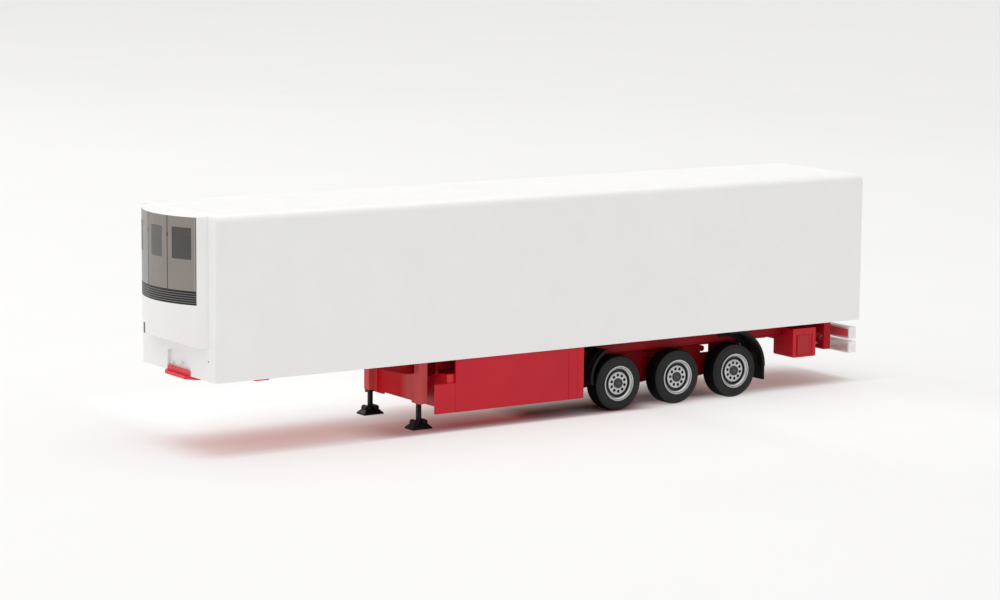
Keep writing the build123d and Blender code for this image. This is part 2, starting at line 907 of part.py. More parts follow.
def lamp_bar():
    bar = bar_channel(lamp_bar_underside, lamp_bar_height)
    rear = station(box_length + bar_rear_overhang)
    lamp_z = lamp_bar_underside + lamp_bar_height / 2
    for inset in lamp_insets:
        for side in (-1, 1):
            lens = Box(lamp_rise, lamp_width, lamp_height)
            bar += Pos(rear - lamp_rise / 2, side * (inner_half_width - inset), lamp_z) * lens
    return bar


def underrun_bar():
    return bar_channel(underrun_underside, underrun_height)


def rear_bar():
    front = station(bar_front)
    rear = station(box_length + bar_rear_overhang)
    return block(
        (rear + bar_wall + fit_gap, front),
        (-inner_half_width + bar_wall + fit_gap, inner_half_width - bar_wall - fit_gap),
        (
            lamp_bar_underside + bar_wall + fit_gap,
            lamp_bar_underside + lamp_bar_height - bar_wall - fit_gap,
        ),
    )


def bumper_bracket():
    """Plate from the back of the rear beam down to the two bars."""
    front = station(rear_beam_front + rear_beam_length)
    rear = station(bar_front)
    outline = [
        (front, box_underside),
        (rear, box_underside),
        (rear, underrun_underside),
        (rear + bracket_foot_length, underrun_underside),
        (front, box_underside - bracket_foot_depth),
    ]
    half = bracket_thickness / 2
    return side_profile(outline, (bracket_offset - half, bracket_offset + half))


# Wheels: hollow tyre, dished rim with hand holes, axle rod
def tyre(number):
    inner, outer = wheel_inner_offset, wheel_outer_offset
    shoulder = wheel_radius - tyre_shoulder_drop
    bore = rim_radius + tyre_seat_clearance
    outline = [
        (bore, inner),
        (shoulder, inner),
        (wheel_radius, inner + tyre_shoulder_radius),
        (wheel_radius, outer - tyre_shoulder_radius),
        (shoulder, outer),
        (bore, outer),
    ]
    return turned_along_y(outline, station(axle_station(number)), wheel_radius)


def rim(number):
    x = station(axle_station(number))
    outer, inner = wheel_outer_offset, wheel_inner_offset
    disc_y = outer - rim_disc_recess
    groove_y = outer - rim_groove_recess
    outline = [
        (0, disc_y),
        (rim_disc_radius, disc_y),
        (rim_disc_radius, groove_y),
        (rim_radius - rim_flange_width, groove_y),
        (rim_radius - rim_flange_width, outer),
        (rim_radius, outer),
        (rim_radius, inner),
        (0, inner),
    ]
    body = turned_along_y(outline, x, wheel_radius)
    hub_y = (disc_y - rim_hub_rise, disc_y + rim_hub_rise)
    body += prism_along_y(rim_hub_radius, rim_hub_sides, x, wheel_radius, hub_y)
    pocket = extrude(RegularPolygon(hand_hole_radius, hand_hole_sides), amount=hand_hole_depth + 1)
    for step in range(hand_hole_count):
        angle = 2 * math.pi * step / hand_hole_count
        hole_x = x + hand_hole_circle * math.sin(angle)
        hole_z = wheel_radius + hand_hole_circle * math.cos(angle)
        body -= Pos(hole_x, disc_y - hand_hole_depth, hole_z) * Rot(-90, 0, 0) * pocket
    seat_y = (inner - 1, inner + axle_seat_depth)
    seat_radius = axle_radius + axle_seat_clearance
    return body - prism_along_y(seat_radius, axle_seat_sides, x, wheel_radius, seat_y)


def axle(number):
    reach = wheel_inner_offset + axle_seat_depth - fit_gap
    return rod_along_y(axle_radius, station(axle_station(number)), wheel_radius, (-reach, reach))


def save(name, piece):
    """Write one piece as a STEP file of its own."""
    solids = piece.solids()
    print(name, "solids", len(solids), "volume", round(piece.volume, 2))
    export_step(solids[0] if len(solids) == 1 else piece, f"parts/{name}.step")


def build():
    os.makedirs("parts", exist_ok=True)
    single = {
        "box_body": box_body,
        "rear_doors": rear_doors,
        "floor_plate": floor_plate,
        "cooling_unit": cooling_unit,
        "cross_members": cross_members,
        "coupling_plate": coupling_plate,
        "landing_gear_frame": landing_gear_frame,
        "toolbox": toolbox,
        "rear_cross_beam": rear_cross_beam,
        "rear_bar": rear_bar,
        "lamp_bar": lamp_bar,
        "underrun_bar": underrun_bar,
    }
    for name, make in single.items():
        save(name, make())
    paired = {
        "frame_rail": frame_rail,
        "landing_leg": landing_leg,
        "pallet_box": pallet_box,
        "side_rail": side_rail,
        "suspension": suspension,
        "front_mudguard": front_mudguard,
        "rear_mudguard": rear_mudguard,
        "bumper_bracket": bumper_bracket,
    }
    for name, make in paired.items():
        left = make()
        save(f"{name}_left", left)
        save(f"{name}_right", right_hand(left))
    save("side_cover_left", side_cover(cover_front_left))
    save("side_cover_right", right_hand(side_cover(cover_front_right)))
    for number in range(axle_count):
        save(f"axle_{number + 1}", axle(number))
        for name, make in {"rim": rim, "tyre": tyre}.items():
            left = make(number)
            save(f"{name}_{number + 1}_left", left)
            save(f"{name}_{number + 1}_right", right_hand(left))


build()
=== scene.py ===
# %% [markdown]
# The object is a small plastic model of a refrigerated semi trailer, about 162 mm long.
# Its solids come packed from the CAD step, already in place and in metres.
# We could build everything again in Blender, but then sizes would drift apart.
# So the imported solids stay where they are, and this lesson only adds finish and fine pieces.

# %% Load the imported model
import math

import bmesh
import bpy
from mathutils import Matrix, Vector


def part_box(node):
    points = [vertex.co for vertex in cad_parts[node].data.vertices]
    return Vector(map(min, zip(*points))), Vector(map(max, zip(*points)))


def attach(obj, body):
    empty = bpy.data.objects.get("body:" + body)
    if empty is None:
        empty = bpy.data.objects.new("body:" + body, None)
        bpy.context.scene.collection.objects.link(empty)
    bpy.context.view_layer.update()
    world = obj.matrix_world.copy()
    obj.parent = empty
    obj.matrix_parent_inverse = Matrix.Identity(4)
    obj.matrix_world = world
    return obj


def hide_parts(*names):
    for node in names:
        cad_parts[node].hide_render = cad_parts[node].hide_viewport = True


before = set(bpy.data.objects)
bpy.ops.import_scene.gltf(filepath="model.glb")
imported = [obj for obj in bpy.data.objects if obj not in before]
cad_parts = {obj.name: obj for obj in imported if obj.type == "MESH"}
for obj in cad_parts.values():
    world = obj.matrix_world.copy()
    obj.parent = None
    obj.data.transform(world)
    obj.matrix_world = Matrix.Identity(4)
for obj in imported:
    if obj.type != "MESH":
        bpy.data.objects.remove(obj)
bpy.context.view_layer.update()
MM = 0.001
scene = bpy.context.scene

# %% [markdown]
# The camera stands where the photo was taken from: 60 cm away and a little above the roof.
# It could be aimed by eye with a tracking constraint, but a tilt of half a degree already shows
# on a long straight box. So its place, heading, dip and roll are written out as numbers.
# The heading is counted from the front of the model, and all three angles are in radians.

# %% Camera
CAMERA_PLACE = Vector((329.594, 489.281, 109.048)) * MM
CAMERA_HEADING = -2.160
CAMERA_DIP = 0.146
CAMERA_ROLL = 0.009
CAMERA_LENS = 105.45
SENSOR_WIDTH = 36
NEAREST_SEEN = 0.01
FARTHEST_SEEN = 100


def camera_turn():
    """The camera's own right, up and back directions as one turn."""
    ahead = Vector((
        math.cos(CAMERA_HEADING) * math.cos(CAMERA_DIP),
        math.sin(CAMERA_HEADING) * math.cos(CAMERA_DIP),
        -math.sin(CAMERA_DIP),
    ))
    level_right = ahead.cross(Vector((0, 0, 1))).normalized()
    level_up = level_right.cross(ahead)
    right = level_right * math.cos(CAMERA_ROLL) + level_up * math.sin(CAMERA_ROLL)
    up = level_up * math.cos(CAMERA_ROLL) - level_right * math.sin(CAMERA_ROLL)
    return Matrix((right, up, -ahead)).transposed().to_4x4()


def make_camera():
    data = bpy.data.cameras.new("camera")
    data.sensor_width = SENSOR_WIDTH
    data.lens = CAMERA_LENS
    data.clip_start = NEAREST_SEEN
    data.clip_end = FARTHEST_SEEN
    camera = bpy.data.objects.new("camera", data)
    scene.collection.objects.link(camera)
    camera.matrix_world = Matrix.Translation(CAMERA_PLACE) @ camera_turn()
    scene.camera = camera


make_camera()
print(scene.camera.name, "stands", round(CAMERA_PLACE.length, 3), "m from the model")

# %% [markdown]
# A studio shot of a small white thing is nearly shadowless: a white ceiling and dimmer walls.
# A sky texture or an image would also do. A white world that dims towards the horizon is plainer,
# and it keeps the recessed red parts dark while the outer faces stay bright. The wall in front of
# the model is a little brighter than the others, and the one behind the camera is darker.
# So the brightness is a sum of three slopes, one for each direction.

# %% Room light
HORIZON_STRENGTH = 0.35
ZENITH_STRENGTH = 1.42
FRONT_WALL_GAIN = 0.2
NEAR_WALL_LOSS = 0.03
ROOM_WHITE = (1.0, 0.995, 0.99, 1)
ROOM_SLOPES = (
    ("Z", HORIZON_STRENGTH, ZENITH_STRENGTH),
    ("X", 0.0, FRONT_WALL_GAIN),
    ("Y", 0.0, -NEAR_WALL_LOSS),
)


def room_strength(nodes, links):
    """The brightness of the room in each direction, as one socket."""
    place = nodes.new("ShaderNodeTexCoord")
    parts = nodes.new("ShaderNodeSeparateXYZ")
    links.new(place.outputs["Generated"], parts.inputs["Vector"])
    total = None
    for direction, low, high in ROOM_SLOPES:
        share = nodes.new("ShaderNodeMapRange")
        share.inputs["To Min"].default_value = low
        share.inputs["To Max"].default_value = high
        links.new(parts.outputs[direction], share.inputs["Value"])
        if total is None:
            total = share.outputs["Result"]
            continue
        both = nodes.new("ShaderNodeMath")
        links.new(total, both.inputs[0])
        links.new(share.outputs["Result"], both.inputs[1])
        total = both.outputs["Value"]
    return total


def make_room():
    world = bpy.data.worlds.new("white_room")
    world.use_nodes = True
    nodes, links = world.node_tree.nodes, world.node_tree.links
    backdrop = nodes["Background"]
    backdrop.inputs["Color"].default_value = ROOM_WHITE
    links.new(room_strength(nodes, links), backdrop.inputs["Strength"])
    scene.world = world


make_room()
print(scene.world.name, "from", HORIZON_STRENGTH, "at the horizon to", ZENITH_STRENGTH, "overhead")

# %% [markdown]
# One large soft lamp gives the model its shadow. It stands behind the model and high up, so the
# shadow falls towards us and the roof is the brightest face. A sun lamp would cast hard edges,
# and a large rectangle close by casts the soft ones of a studio.

# %% Key lamp
KEY_PLACE = Vector((0.30, -0.95, 1.15))
KEY_SIZE = (0.6, 1.3)
KEY_POWER = 4.6


def make_key_lamp():
    data = bpy.data.lights.new("key_lamp", "AREA")
    data.shape = "RECTANGLE"
    data.size, data.size_y = KEY_SIZE
    data.energy = KEY_POWER
    lamp = bpy.data.objects.new("key_lamp", data)
    lamp.location = KEY_PLACE
    lamp.rotation_euler = (-KEY_PLACE).to_track_quat("-Z", "Y").to_euler()
    scene.collection.objects.link(lamp)
    return lamp


scene.view_settings.view_transform = "Standard"
print(make_key_lamp().name, round(KEY_PLACE.length, 2), "m away")

# %% [markdown]
# Every finish on this model is a plastic or a thin print on plastic. Blender's shaders want
# linear colours, while an eye and a paint chart think in screen colours from 0 to 255.
# One helper turns the second kind into the first, and another starts an empty material.

# %% Helpers for colours


def linear(red, green, blue):
    """A screen colour from 0 to 255 as the linear values that a shader wants."""
    shares = [value / 255 for value in (red, green, blue)]
    return [c / 12.92 if c <= 0.04045 else ((c + 0.055) / 1.055) ** 2.4 for c in shares]


def new_material(name):
    material = bpy.data.materials.new(name)
    material.use_nodes = True
    return material, material.node_tree.nodes, material.node_tree.links


print("a mid grey is", [round(value, 3) for value in linear(128, 128, 128)])

# %% [markdown]
# Real moulded plastic is never one flat value. A noise texture gives the drift, a map range turns
# it into the numbers that we want, and a mix node turns it into colours. The noise follows the
# object's own coordinates, so nothing has to be unwrapped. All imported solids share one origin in
# the middle of the model, so these coordinates also tell how far left or right a place is.

# %% Helpers for noise and slopes


def noise(nodes, links, feature_mm, detail=3):
    """A noise texture whose spots are about this many millimetres across."""
    place = nodes.new("ShaderNodeTexCoord")
    spots = nodes.new("ShaderNodeTexNoise")
    spots.inputs["Scale"].default_value = 1 / (feature_mm * MM)
    spots.inputs["Detail"].default_value = detail
    links.new(place.outputs["Object"], spots.inputs["Vector"])
    return spots.outputs["Fac"]


def between(nodes, links, amount, low, high, start=0.3, end=0.7):
    """A number that goes from low to high as the amount goes from start to end."""
    ramp = nodes.new("ShaderNodeMapRange")
    ramp.inputs["From Min"].default_value = start
    ramp.inputs["From Max"].default_value = end
    ramp.inputs["To Min"].default_value = low
    ramp.inputs["To Max"].default_value = high
    links.new(amount, ramp.inputs["Value"])
    return ramp.outputs["Result"]


def mixed(nodes, links, amount, first, second):
    """Two colours mixed by an amount; either may be a socket."""
    mix = nodes.new("ShaderNodeMix")
    mix.data_type = "RGBA"
    links.new(amount, mix.inputs["Factor"])
    for socket, colour in ((mix.inputs[6], first), (mix.inputs[7], second)):
        if isinstance(colour, bpy.types.NodeSocket):
            links.new(colour, socket)
        else:
            socket.default_value = (*colour, 1)
    return mix.outputs[2]


def arithmetic(nodes, links, operation, first, second=0.0):
    """One step of sums on two sockets or numbers."""
    step = nodes.new("ShaderNodeMath")
    step.operation = operation
    for socket, value in zip(step.inputs, (first, second)):
        if isinstance(value, bpy.types.NodeSocket):
            links.new(value, socket)
        else:
            socket.default_value = value
    return step.outputs["Value"]


def sideways(nodes, links, start_mm, end_mm, both_sides=False):
    """A share from 0 to 1 between two distances to the left of the model's middle."""
    place = nodes.new("ShaderNodeTexCoord")
    parts = nodes.new("ShaderNodeSeparateXYZ")
    links.new(place.outputs["Object"], parts.inputs["Vector"])
    across = parts.outputs["Y"]
    if both_sides:
        across = arithmetic(nodes, links, "ABSOLUTE", across)
    return between(nodes, links, across, 0.0, 1.0, start_mm * MM, end_mm * MM)


print("noise spots of 9 mm have a scale of", round(1 / (9 * MM)))

# %% [markdown]
# Three noise textures of different sizes make the plastic: the colour drifts a little where the
# melt flowed, the gloss varies, and the mould leaves a very fine grain. The grain could be real
# relief, but it is thinner than a hair, so a bump node is enough.

# %% Helper for moulded plastic
FLOW_MM = 9.0
SMEAR_MM = 2.6
SMEAR_DETAIL = 5


def grained(nodes, links, shader, height, depth_mm, strength=0.5):
    """Fine relief from a height value."""
    bump = nodes.new("ShaderNodeBump")
    bump.inputs["Strength"].default_value = strength
    bump.inputs["Distance"].default_value = depth_mm * MM
    links.new(height, bump.inputs["Height"])
    links.new(bump.outputs["Normal"], shader.inputs["Normal"])


def moulded(name, colour, drift, roughness, grain, settings):
    """Moulded plastic; the grain is its size and its depth in mm."""
    material, nodes, links = new_material(name)
    shader = nodes["Principled BSDF"]
    tone = between(nodes, links, noise(nodes, links, FLOW_MM), 0.0, 1.0)
    links.new(mixed(nodes, links, tone, colour, drift), shader.inputs["Base Color"])
    smear = noise(nodes, links, SMEAR_MM, SMEAR_DETAIL)
    links.new(between(nodes, links, smear, *roughness), shader.inputs["Roughness"])
    grain_mm, grain_depth = grain
    grained(nodes, links, shader, noise(nodes, links, grain_mm), grain_depth)
    for socket, value in settings.items():
        shader.inputs[socket].default_value = value
    return material


WHITE = moulded(
    "white_plastic_finish", (0.885, 0.878, 0.873), (0.865, 0.859, 0.854), (0.34, 0.46), (0.22, 0.006),
    {"Subsurface Weight": 0.12, "Subsurface Scale": 0.0008},
)
print("first plastic", WHITE.name, "nodes", len(WHITE.node_tree.nodes))

# %% [markdown]
# The frame under the box is red. Red plastic of such models is strongly coloured, so its base is
# nearly pure red, and the pale look of its lit faces comes from reflections of the white room.
# One red for all would be simpler. The moulds are only polished where the part will be seen, so the covers
# are glossy, the frame is matter, and the suspension deep inside is dull. The other reds also carry painted
# light. The frame and the suspension are darker as painted shade. The coupling nose and the pallet boxes
# are paler as painted light and painted reflection. The rear bar is paler partly because its red shows
# through the milky bars and partly as painted light. The gear plate is pinkish as painted reflection.
# Each row gives the colour, its drift, the roughness, the grain, and the specular level.

# %% Red plastics
# Apart from red_plastic, each row is the red made darker as painted shade or paler as painted light; the
# gear row is pinkish as painted reflection.
RED_KINDS = {
    "red_plastic": ((0.55, 0.002, 0.016), (0.51, 0.0015, 0.014), (0.28, 0.42), (0.18, 0.005), 0.36),
    "frame_shade_red": ((0.38, 0.0006, 0.008), (0.34, 0.0005, 0.007), (0.44, 0.58), (0.16, 0.008), 0.22),
    "shaded_red": ((0.21, 0.0003, 0.004), (0.17, 0.0002, 0.003), (0.5, 0.64), (0.16, 0.010), 0.12),
    "painted_lit_red": ((0.82, 0.010, 0.022), (0.78, 0.009, 0.020), (0.26, 0.38), (0.18, 0.005), 0.5),
    "painted_sheen_red": ((0.66, 0.006, 0.020), (0.62, 0.005, 0.018), (0.3, 0.44), (0.18, 0.005), 0.5),
    "showing_red": ((0.85, 0.105, 0.13), (0.80, 0.095, 0.12), (0.3, 0.42), (0.2, 0.004), 0.4),
    "gear_red": ((0.74, 0.125, 0.128), (0.70, 0.118, 0.121), (0.4, 0.54), (0.18, 0.005), 0.08),
}
reds = {
    kind: moulded(f"{kind}_finish", colour, drift, roughness, grain, {"Specular IOR Level": level})
    for kind, (colour, drift, roughness, grain, level) in RED_KINDS.items()
}
print("reds", list(reds))

# %% [markdown]
# The legs and mudguards are black, and the two bars at the rear are a milky plastic that light
# enters a little way. Subsurface scattering gives that soft look; real transmission would show
# the noisy inside of the bars and is slower.

# %% Black and milky plastic
BLACK = moulded(
    "black_plastic_finish", (0.0035, 0.0035, 0.004), (0.0055, 0.0055, 0.006), (0.36, 0.52), (0.2, 0.012),
    {"Specular IOR Level": 0.18},
)
MILKY = moulded(
    "milky_plastic_finish", (0.93, 0.90, 0.895), (0.90, 0.865, 0.86), (0.26, 0.36), (0.25, 0.004),
    {"Subsurface Weight": 0.5, "Subsurface Scale": 0.0012, "Subsurface Radius": (1, 1, 1)},
)
print("plastics", BLACK.name, MILKY.name)

# %% [markdown]
# Two of these colours change across the model. The milky bars are thin, so the red holder behind them
# shines through everywhere except near their ends. And the plate between the landing legs is deep red on
# its far part, as painted shade, and paler on the near part, as painted reflection. Vertex colours could
# carry that, but the imported mesh has few corners. A base colour that follows the width of the model needs
# none.

# %% Colour across the model
MILKY_OVER_RED = (0.92, 0.78, 0.76)
MILKY_CLEAR_OF_HOLDER = (11.0, 13.7)
# On the gear plate the deep red is painted shade on its far part, and the plate's own pinkish red is
# painted reflection.
GEAR_PAINTED_SHADE = (0.66, 0.0006, 0.010)
GEAR_SHADE_FROM = (-7.9, -7.6)
GEAR_SHADE_TO = (1.0, 4.0)


def recoloured(finish, share_of, first, second):
    """Mixes the finish's own colour, given as None, with another one by a share across the model."""
    nodes, links = finish.node_tree.nodes, finish.node_tree.links
    colour = nodes["Principled BSDF"].inputs["Base Color"]
    plain = colour.links[0].from_socket
    share = share_of(nodes, links)
    links.new(mixed(nodes, links, share, first or plain, second or plain), colour)


def beyond_the_holder(nodes, links):
    return sideways(nodes, links, *MILKY_CLEAR_OF_HOLDER, both_sides=True)


def shaded_far_part_of_plate(nodes, links):
    begun = sideways(nodes, links, *GEAR_SHADE_FROM)
    ended = sideways(nodes, links, *GEAR_SHADE_TO)
    return arithmetic(nodes, links, "SUBTRACT", begun, ended)


recoloured(MILKY, beyond_the_holder, MILKY_OVER_RED, None)
recoloured(reds["gear_red"], shaded_far_part_of_plate, None, GEAR_PAINTED_SHADE)
print("two tones on", MILKY.name, "and", reds["gear_red"].name)

# %% [markdown]
# Each imported solid says in its material slot which plastic it is. The finish goes by that slot, and a few
# red nodes get their own red by name: the glossy red, or a red made paler as painted light or darker as
# painted shade. The red slot itself takes the frame red, which is darker as painted shade.
# Tyres and rims are left out here, because dressed ones take their places further on.

# %% Finish for the imported solids
FINISH_OF_SLOT = {
    "white_plastic": WHITE, "red_plastic": reds["frame_shade_red"], "black_plastic": BLACK, "lamp_plastic": MILKY,
}
# These reds are lightened as painted light or darkened as painted shade, except the plain glossy red on the
# side covers and the tool box.
RED_OF_NODE = {
    "side_cover": "red_plastic", "toolbox": "red_plastic", "coupling_plate": "painted_lit_red",
    "landing_gear_frame": "gear_red", "pallet_box": "painted_sheen_red", "rear_bar": "showing_red",
    "suspension": "shaded_red",
}


def node_finish(node):
    """The finish that the record's material slot of this node asks for."""
    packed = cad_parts[node].material_slots[0].material.name
    for start, kind in RED_OF_NODE.items():
        if node.startswith(start):
            return reds[kind]
    for slot, finish in FINISH_OF_SLOT.items():
        if packed.startswith(slot):
            return finish
    return None


def finish_packed_solids():
    """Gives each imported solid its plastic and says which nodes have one."""
    finished = []
    for node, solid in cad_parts.items():
        finish = node_finish(node)
        if finish is None:
            continue
        for material_slot in solid.material_slots:
            material_slot.material = finish
        finished.append(node)
    return finished


finished_nodes = finish_packed_solids()
print("finished solids", len(finished_nodes))

# %% [markdown]
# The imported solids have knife-sharp edges. No moulded edge is that sharp: a tiny rounding
# catches a line of light, and that line tells the eye how big the thing is.
# We could round every edge in CAD, at the price of many small faces. A bevel modifier does it
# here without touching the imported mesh. The weld comes first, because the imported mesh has
# separate corners for each flat face.

# %% Soft edges
EDGE_ROUNDING = {
    "box_body": 0.12, "cooling_unit": 0.1, "coupling_plate": 0.07, "floor_plate": 0.06,
    "side_cover": 0.06, "lamp_bar": 0.06, "underrun_bar": 0.06,
}
PLAIN_ROUNDING = 0.05
ROUNDING_SEGMENTS = 2
ROUND_ABOVE_ANGLE = math.radians(38)
WELD_DISTANCE = 0.0004


def soften(solid, width_mm):
    """A small rounding on every edge that is sharper than the limit."""
    weld = solid.modifiers.new("weld", "WELD")
    weld.merge_threshold = WELD_DISTANCE * MM
    bevel = solid.modifiers.new("soft_edges", "BEVEL")
    bevel.width = width_mm * MM
    bevel.segments = ROUNDING_SEGMENTS
    bevel.limit_method = "ANGLE"
    bevel.angle_limit = ROUND_ABOVE_ANGLE
    bevel.harden_normals = False
    bevel.use_clamp_overlap = True


for node in finished_nodes:
    widths = [width for part, width in EDGE_ROUNDING.items() if node.startswith(part)]
    soften(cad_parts[node], widths[0] if widths else PLAIN_ROUNDING)
print("softened", len(finished_nodes), "solids, the box by", EDGE_ROUNDING["box_body"], "mm")

# %% [markdown]
# Most extra pieces are made the same way: a list of faces in a bmesh, edges marked sharp where
# two faces meet at an angle, then an object that rides on one of the model's bodies.
# One helper does that for all of them, so no piece forgets its body or its material slot.

# %% Helpers for new pieces
SHARP_ANGLE = math.radians(32)


def add_piece(name, mesh_data, finishes, body, place=None, replaced=()):
    """A new object on one of the bodies, with the given finishes as its materials."""
    piece = bpy.data.objects.new(name, mesh_data)
    if not mesh_data.materials:
        for finish in finishes:
            mesh_data.materials.append(finish)
    scene.collection.objects.link(piece)
    if place is not None:
        piece.matrix_world = place
    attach(piece, body)
    if replaced:
        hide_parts(*replaced)
    return piece


def to_mesh(name, bm):
    """A bmesh as mesh data, with smooth faces and sharp edges where the angle is large."""
    bmesh.ops.recalc_face_normals(bm, faces=bm.faces)
    for face in bm.faces:
        face.smooth = True
    for edge in bm.edges:
        edge.smooth = len(edge.link_faces) == 2 and edge.calc_face_angle(0) < SHARP_ANGLE
    data = bpy.data.meshes.new(name)
    bm.to_mesh(data)
    bm.free()
    return data


print("edges are sharp above", round(math.degrees(SHARP_ANGLE)), "degrees")

# %% [markdown]
# Tyres and rims are turned shapes: one outline goes round an axis. Blender's Spin or Screw can
# do that, but building the rings by hand lets us press single steps of a ring inwards, which
# gives the tyre its shoulder notches, and give each band of the rim its own colour.
# The outline is a list of radius and depth, where depth counts inwards from the outer side.

# %% Helper for turned shapes
POINT_BELOW_RADIUS = 1e-6


def turned(outline, steps, notch=None):
    """Rings round the Y axis; outline rows are radius, depth and material number, in mm."""
    bm = bmesh.new()
    rings = []
    for index, (radius, depth, finish) in enumerate(outline):
        if radius < POINT_BELOW_RADIUS:
            rings.append([bm.verts.new((0, -depth * MM, 0))])
            continue
        ring = []
        for step in range(steps):
            angle = 2 * math.pi * step / steps
            reach = (radius - (notch(index, step) if notch else 0)) * MM
            ring.append(bm.verts.new((reach * math.sin(angle), -depth * MM, reach * math.cos(angle))))
        rings.append(ring)
    for index in range(len(rings) - 1):
        here, there, finish = rings[index], rings[index + 1], outline[index][2]
        for step in range(steps):
            after = (step + 1) % steps
            corners = [here[step % len(here)], here[after % len(here)]]
            corners += [there[after % len(there)], there[step % len(there)]]
            corners = list(dict.fromkeys(corners))
            if len(corners) > 2:
                bm.faces.new(corners).material_index = finish
    return bm


print("a ring is one point below a radius of", POINT_BELOW_RADIUS, "mm")

# %% [markdown]
# The tyre is a soft black plastic. Its running face is rougher and duller than the side wall, because the
# mould's grooves can't be polished, and it is darker as painted shade, since it lies between the wheels and
# under the cover.
# One finish for both would be simpler, but then the tyre looks like one flat black disc.

# %% Tyre finishes
RUBBER = moulded(
    "tyre_finish", (0.0095, 0.0093, 0.0092), (0.0135, 0.0132, 0.013), (0.42, 0.58), (0.12, 0.014),
    {"Specular IOR Level": 0.26},
)
# The running face's darker colour is painted shade.
SHADED_TREAD_RUBBER = moulded(
    "tyre_tread_shade_finish", (0.0022, 0.0021, 0.002), (0.0035, 0.0033, 0.0032), (0.6, 0.75), (0.12, 0.014),
    {"Specular IOR Level": 0.06},
)
TYRE_FINISHES = (RUBBER, SHADED_TREAD_RUBBER)
print("tyre finishes", [finish.name for finish in TYRE_FINISHES])

# %% [markdown]
# The side wall has a bead next to the rim and a shallow step half way up, the shoulder is round, and the
# running face has four fine grooves. Half of the outline is listed as rows of radius and depth, and the
# other half is its mirror image.

# %% Tyre outline
WALL, TREAD = 0, 1
TREAD_FROM_RADIUS = 5.5
TYRE_RADIUS = 5.684
TYRE_WIDTH = 4.2
TYRE_GROOVES = (1.25, 1.82, 2.38, 2.95)
GROOVE_WIDTH = 0.13
GROOVE_DEPTH = 0.11
GROOVE_SLOPE = 0.02
SIDE_WALL = (
    (3.63, 0.42), (3.63, 0.07), (3.68, 0.015), (3.80, 0.0), (3.92, 0.03), (3.97, 0.075),
    (4.2, 0.085), (4.5, 0.05), (4.74, 0.02), (4.9, 0.03), (4.97, 0.12), (5.15, 0.15),
    (5.3, 0.2), (5.42, 0.31), (5.51, 0.44), (5.58, 0.6), (5.63, 0.78), (5.665, 0.97),
)


def groove_rows(groove):
    """The four corners of one groove in the running face."""
    low, high = groove - GROOVE_WIDTH / 2, groove + GROOVE_WIDTH / 2
    bottom = TYRE_RADIUS - GROOVE_DEPTH
    return [
        (TYRE_RADIUS, low, TREAD), (bottom, low + GROOVE_SLOPE, TREAD),
        (bottom, high - GROOVE_SLOPE, TREAD), (TYRE_RADIUS, high, TREAD),
    ]


def tyre_outline():
    half = [
        (radius, depth, TREAD if radius > TREAD_FROM_RADIUS else WALL) for radius, depth in SIDE_WALL
    ]
    tread = [row for groove in TYRE_GROOVES for row in groove_rows(groove)]
    back = [(radius, TYRE_WIDTH - depth, finish) for radius, depth, finish in reversed(half)]
    return half + tread + back + half[:1]


print("tyre outline rows", len(tyre_outline()))

# %% [markdown]
# The shoulder notches are real dents in the mesh, so they also show in the outline of the tyre.
# Every fourth step of the shoulder rings is pressed in a little. A displacement texture would
# need far more faces for the same dents.

# %% Tyre mesh
TYRE_STEPS = 192
NOTCH_RADII = (5.4, 5.64)
NOTCH_DEPTH = 0.05
NOTCH_EVERY = 4


def tyre_notch(outline):
    def depth(index, step):
        inside = NOTCH_RADII[0] < outline[index][0] < NOTCH_RADII[1]
        return NOTCH_DEPTH if inside and step % NOTCH_EVERY == 0 else 0
    return depth


def make_tyre_mesh():
    """The whole tyre, with its outer side at depth 0."""
    outline = tyre_outline()
    return to_mesh("tyre_mesh", turned(outline, TYRE_STEPS, tyre_notch(outline)))


tyre_mesh = make_tyre_mesh()
print("tyre faces", len(tyre_mesh.polygons))

# %% [markdown]
# The rim is dark plastic printed with silver on its raised faces only: the outer flange and the disc. The
# groove between them, the ten hand holes and the hub stay dark. The middle of the hub is a lighter grey, a
# painted reflection on the hub cap, and the same grey lines the sloped wall where the groove rises to the
# flange. Painting it with a texture would blur at this size, so the silver is a second material on the
# bands it covers.

# %% Rim finishes
RIM_DARK = moulded(
    "rim_plastic_finish", (0.028, 0.028, 0.029), (0.042, 0.042, 0.043), (0.35, 0.5), (0.15, 0.008),
    {"Specular IOR Level": 0.4},
)
SILVER = moulded(
    "silver_print_finish", (0.62, 0.62, 0.625), (0.52, 0.52, 0.525), (0.24, 0.38), (0.1, 0.006),
    {"Metallic": 0.75},
)
# Where this grey covers the middle of the hub, it is a painted reflection.
HUB_GREY = moulded(
    "hub_grey_finish", (0.085, 0.085, 0.087), (0.06, 0.06, 0.062), (0.3, 0.45), (0.1, 0.006),
    {"Metallic": 0.3},
)
RIM_FINISHES = (RIM_DARK, SILVER, HUB_GREY)
print("rim finishes", [finish.name for finish in RIM_FINISHES])

# %% [markdown]
# The outline of the rim starts at the middle of the hub, runs over the disc, through the dark
# groove, over the two steps of the flange, and back along the inner side to the axle hole.

